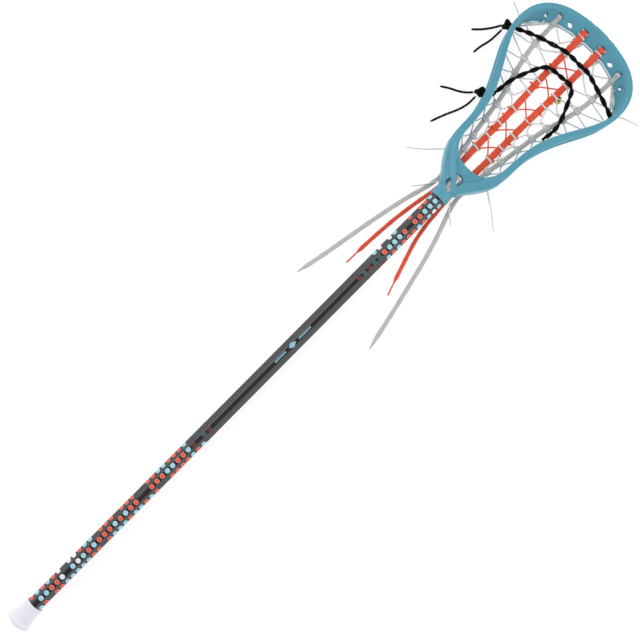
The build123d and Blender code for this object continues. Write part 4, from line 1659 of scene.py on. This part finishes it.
@dataclass
class ShootingStrings:
    """Two black strings across the pocket, each a twisted pair tied off outside the wall."""

    strand: float = 3.5
    pitch: float = 30.0
    knot_strand: float = 4.6

    def routes(self) -> dict[str, tuple[Point, ...]]:
        """Return the strings' routes in metres."""
        return {
            "shooting_string_upper": (
                (0.9985, 0.0928, -0.0042), (1.0015, 0.086, -0.0036), (1.009, 0.072, -0.004),
                (1.017, 0.054, -0.005),
                (1.022, 0.037, -0.0054), (1.027, 0.022, -0.0055), (1.029, 0.007, -0.0055),
                (1.028, -0.009, -0.0055),
                (1.030, -0.021, -0.0055), (1.025, -0.038, -0.0054), (1.019, -0.055, -0.005),
                (1.013, -0.073, -0.004),
                (1.006, -0.088, -0.0036),
            ),
            "shooting_string_lower": (
                (0.9095, 0.0562, -0.005), (0.914, 0.0462, -0.0042), (0.928, 0.0436, -0.0048),
                (0.942, 0.0428, -0.0056), (0.953, 0.040, -0.0058), (0.965, 0.036, -0.0058),
                (0.977, 0.031, -0.0058),
                (0.989, 0.0255, -0.0058), (0.9975, 0.018, -0.0057), (0.999, 0.006, -0.0056),
                (0.9995, -0.007, -0.0056), (1.0015, -0.017, -0.0056), (0.997, -0.026, -0.0057),
                (0.986, -0.031, -0.0058), (0.974, -0.0365, -0.0058), (0.962, -0.0415, -0.0058),
                (0.950, -0.0454, -0.0057), (0.936, -0.0462, -0.0052), (0.920, -0.043, -0.0042),
            ),
        }

    def build_pair(self, node: str, route: Sequence[Point]) -> None:
        """Build one string as two strands twisted round its line."""
        line = route_points(route, Spline.NEAR)
        runs = run_lengths(line)
        sides = side_vectors(line, False)
        for number in (1, 2):
            strand = []
            for point, run, (side, rise) in zip(line, runs, sides):
                turn = 2 * math.pi * run / (self.pitch * MM) + math.pi * number + 0.8 * math.sin(run * 55)
                reach = self.strand * 0.46 * MM
                strand.append(point + (side * math.cos(turn) + rise * math.sin(turn)) * reach)
            mesh = sweep(node, strand, twisted_section(self.strand * MM, 0.006))
            made = plain_object(f"{node}_strand_{number}", mesh, BLACK_CORD)
            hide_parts(node)
            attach(made, Body.STICK.value)

    def build_knot(self, node: str, turn: float) -> None:
        """Build one pulled-tight overhand knot in the space of its node."""
        low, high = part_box(node)
        centre = (low + high) / 2 + Vector((0.6, -0.8, 0.0)) * MM
        reach = Vector((6.4, 5.0, 2.2)) * MM
        spin = Matrix.Rotation(math.radians(turn), 3, "Z")
        line = []
        steps = 72
        for number in range(steps + 1):
            angle = 2 * math.pi * number / steps
            shape = Vector((
                (math.sin(angle) + 2 * math.sin(2 * angle)) / 3 * reach.x,
                (math.cos(angle) - 2 * math.cos(2 * angle)) / 3 * reach.y,
                -math.sin(3 * angle) * reach.z,
            ))
            line.append(centre + spin @ shape)
        mesh = sweep(node, line, twisted_section(self.knot_strand * MM, 0.007, sides=14))
        made = plain_object(node + "_tied", mesh, BLACK_CORD)
        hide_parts(node)
        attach(made, Body.STICK.value)

    def build(self) -> None:
        """Build both strings and their knots."""
        for node, route in self.routes().items():
            self.build_pair(node, route)
            LOG.info("%s: two strands", node)
        for node, turn in (("shooting_knot_upper", 12.0), ("shooting_knot_lower", -24.0)):
            self.build_knot(node, turn)


# ---------------------------------------------------------------- whole stick
def main() -> None:
    """Build the studio and every sub-assembly in order."""
    logging.basicConfig(level=logging.INFO, format="%(name)s %(message)s")
    studio = Studio()
    studio.build_camera()
    for tail in TAILS:
        tail.build()
    Moulding("head_frame", Body.STICK, Slot.HEAD, TEAL_NYLON, 1.0 * MM, 4, ridges=THROAT_RIDGES).build()
    Moulding("end_cap", Body.CAP, Slot.CAP, WHITE_RUBBER, 0.45 * MM, 4, 90_000).build()
    shaft = Shaft()
    shaft.build_tube()
    shaft.build_dots()
    shaft.build_mark()
    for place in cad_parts["head_screw"].material_slots:
        place.material = TurnedSteel().material()
    Thongs().build()
    Lacing().build()
    for plate in PLATES:
        plate.build()
    ShootingStrings().build()
    studio.build_floor()
    studio.build_lights()


if __name__ == "__main__":
    main()
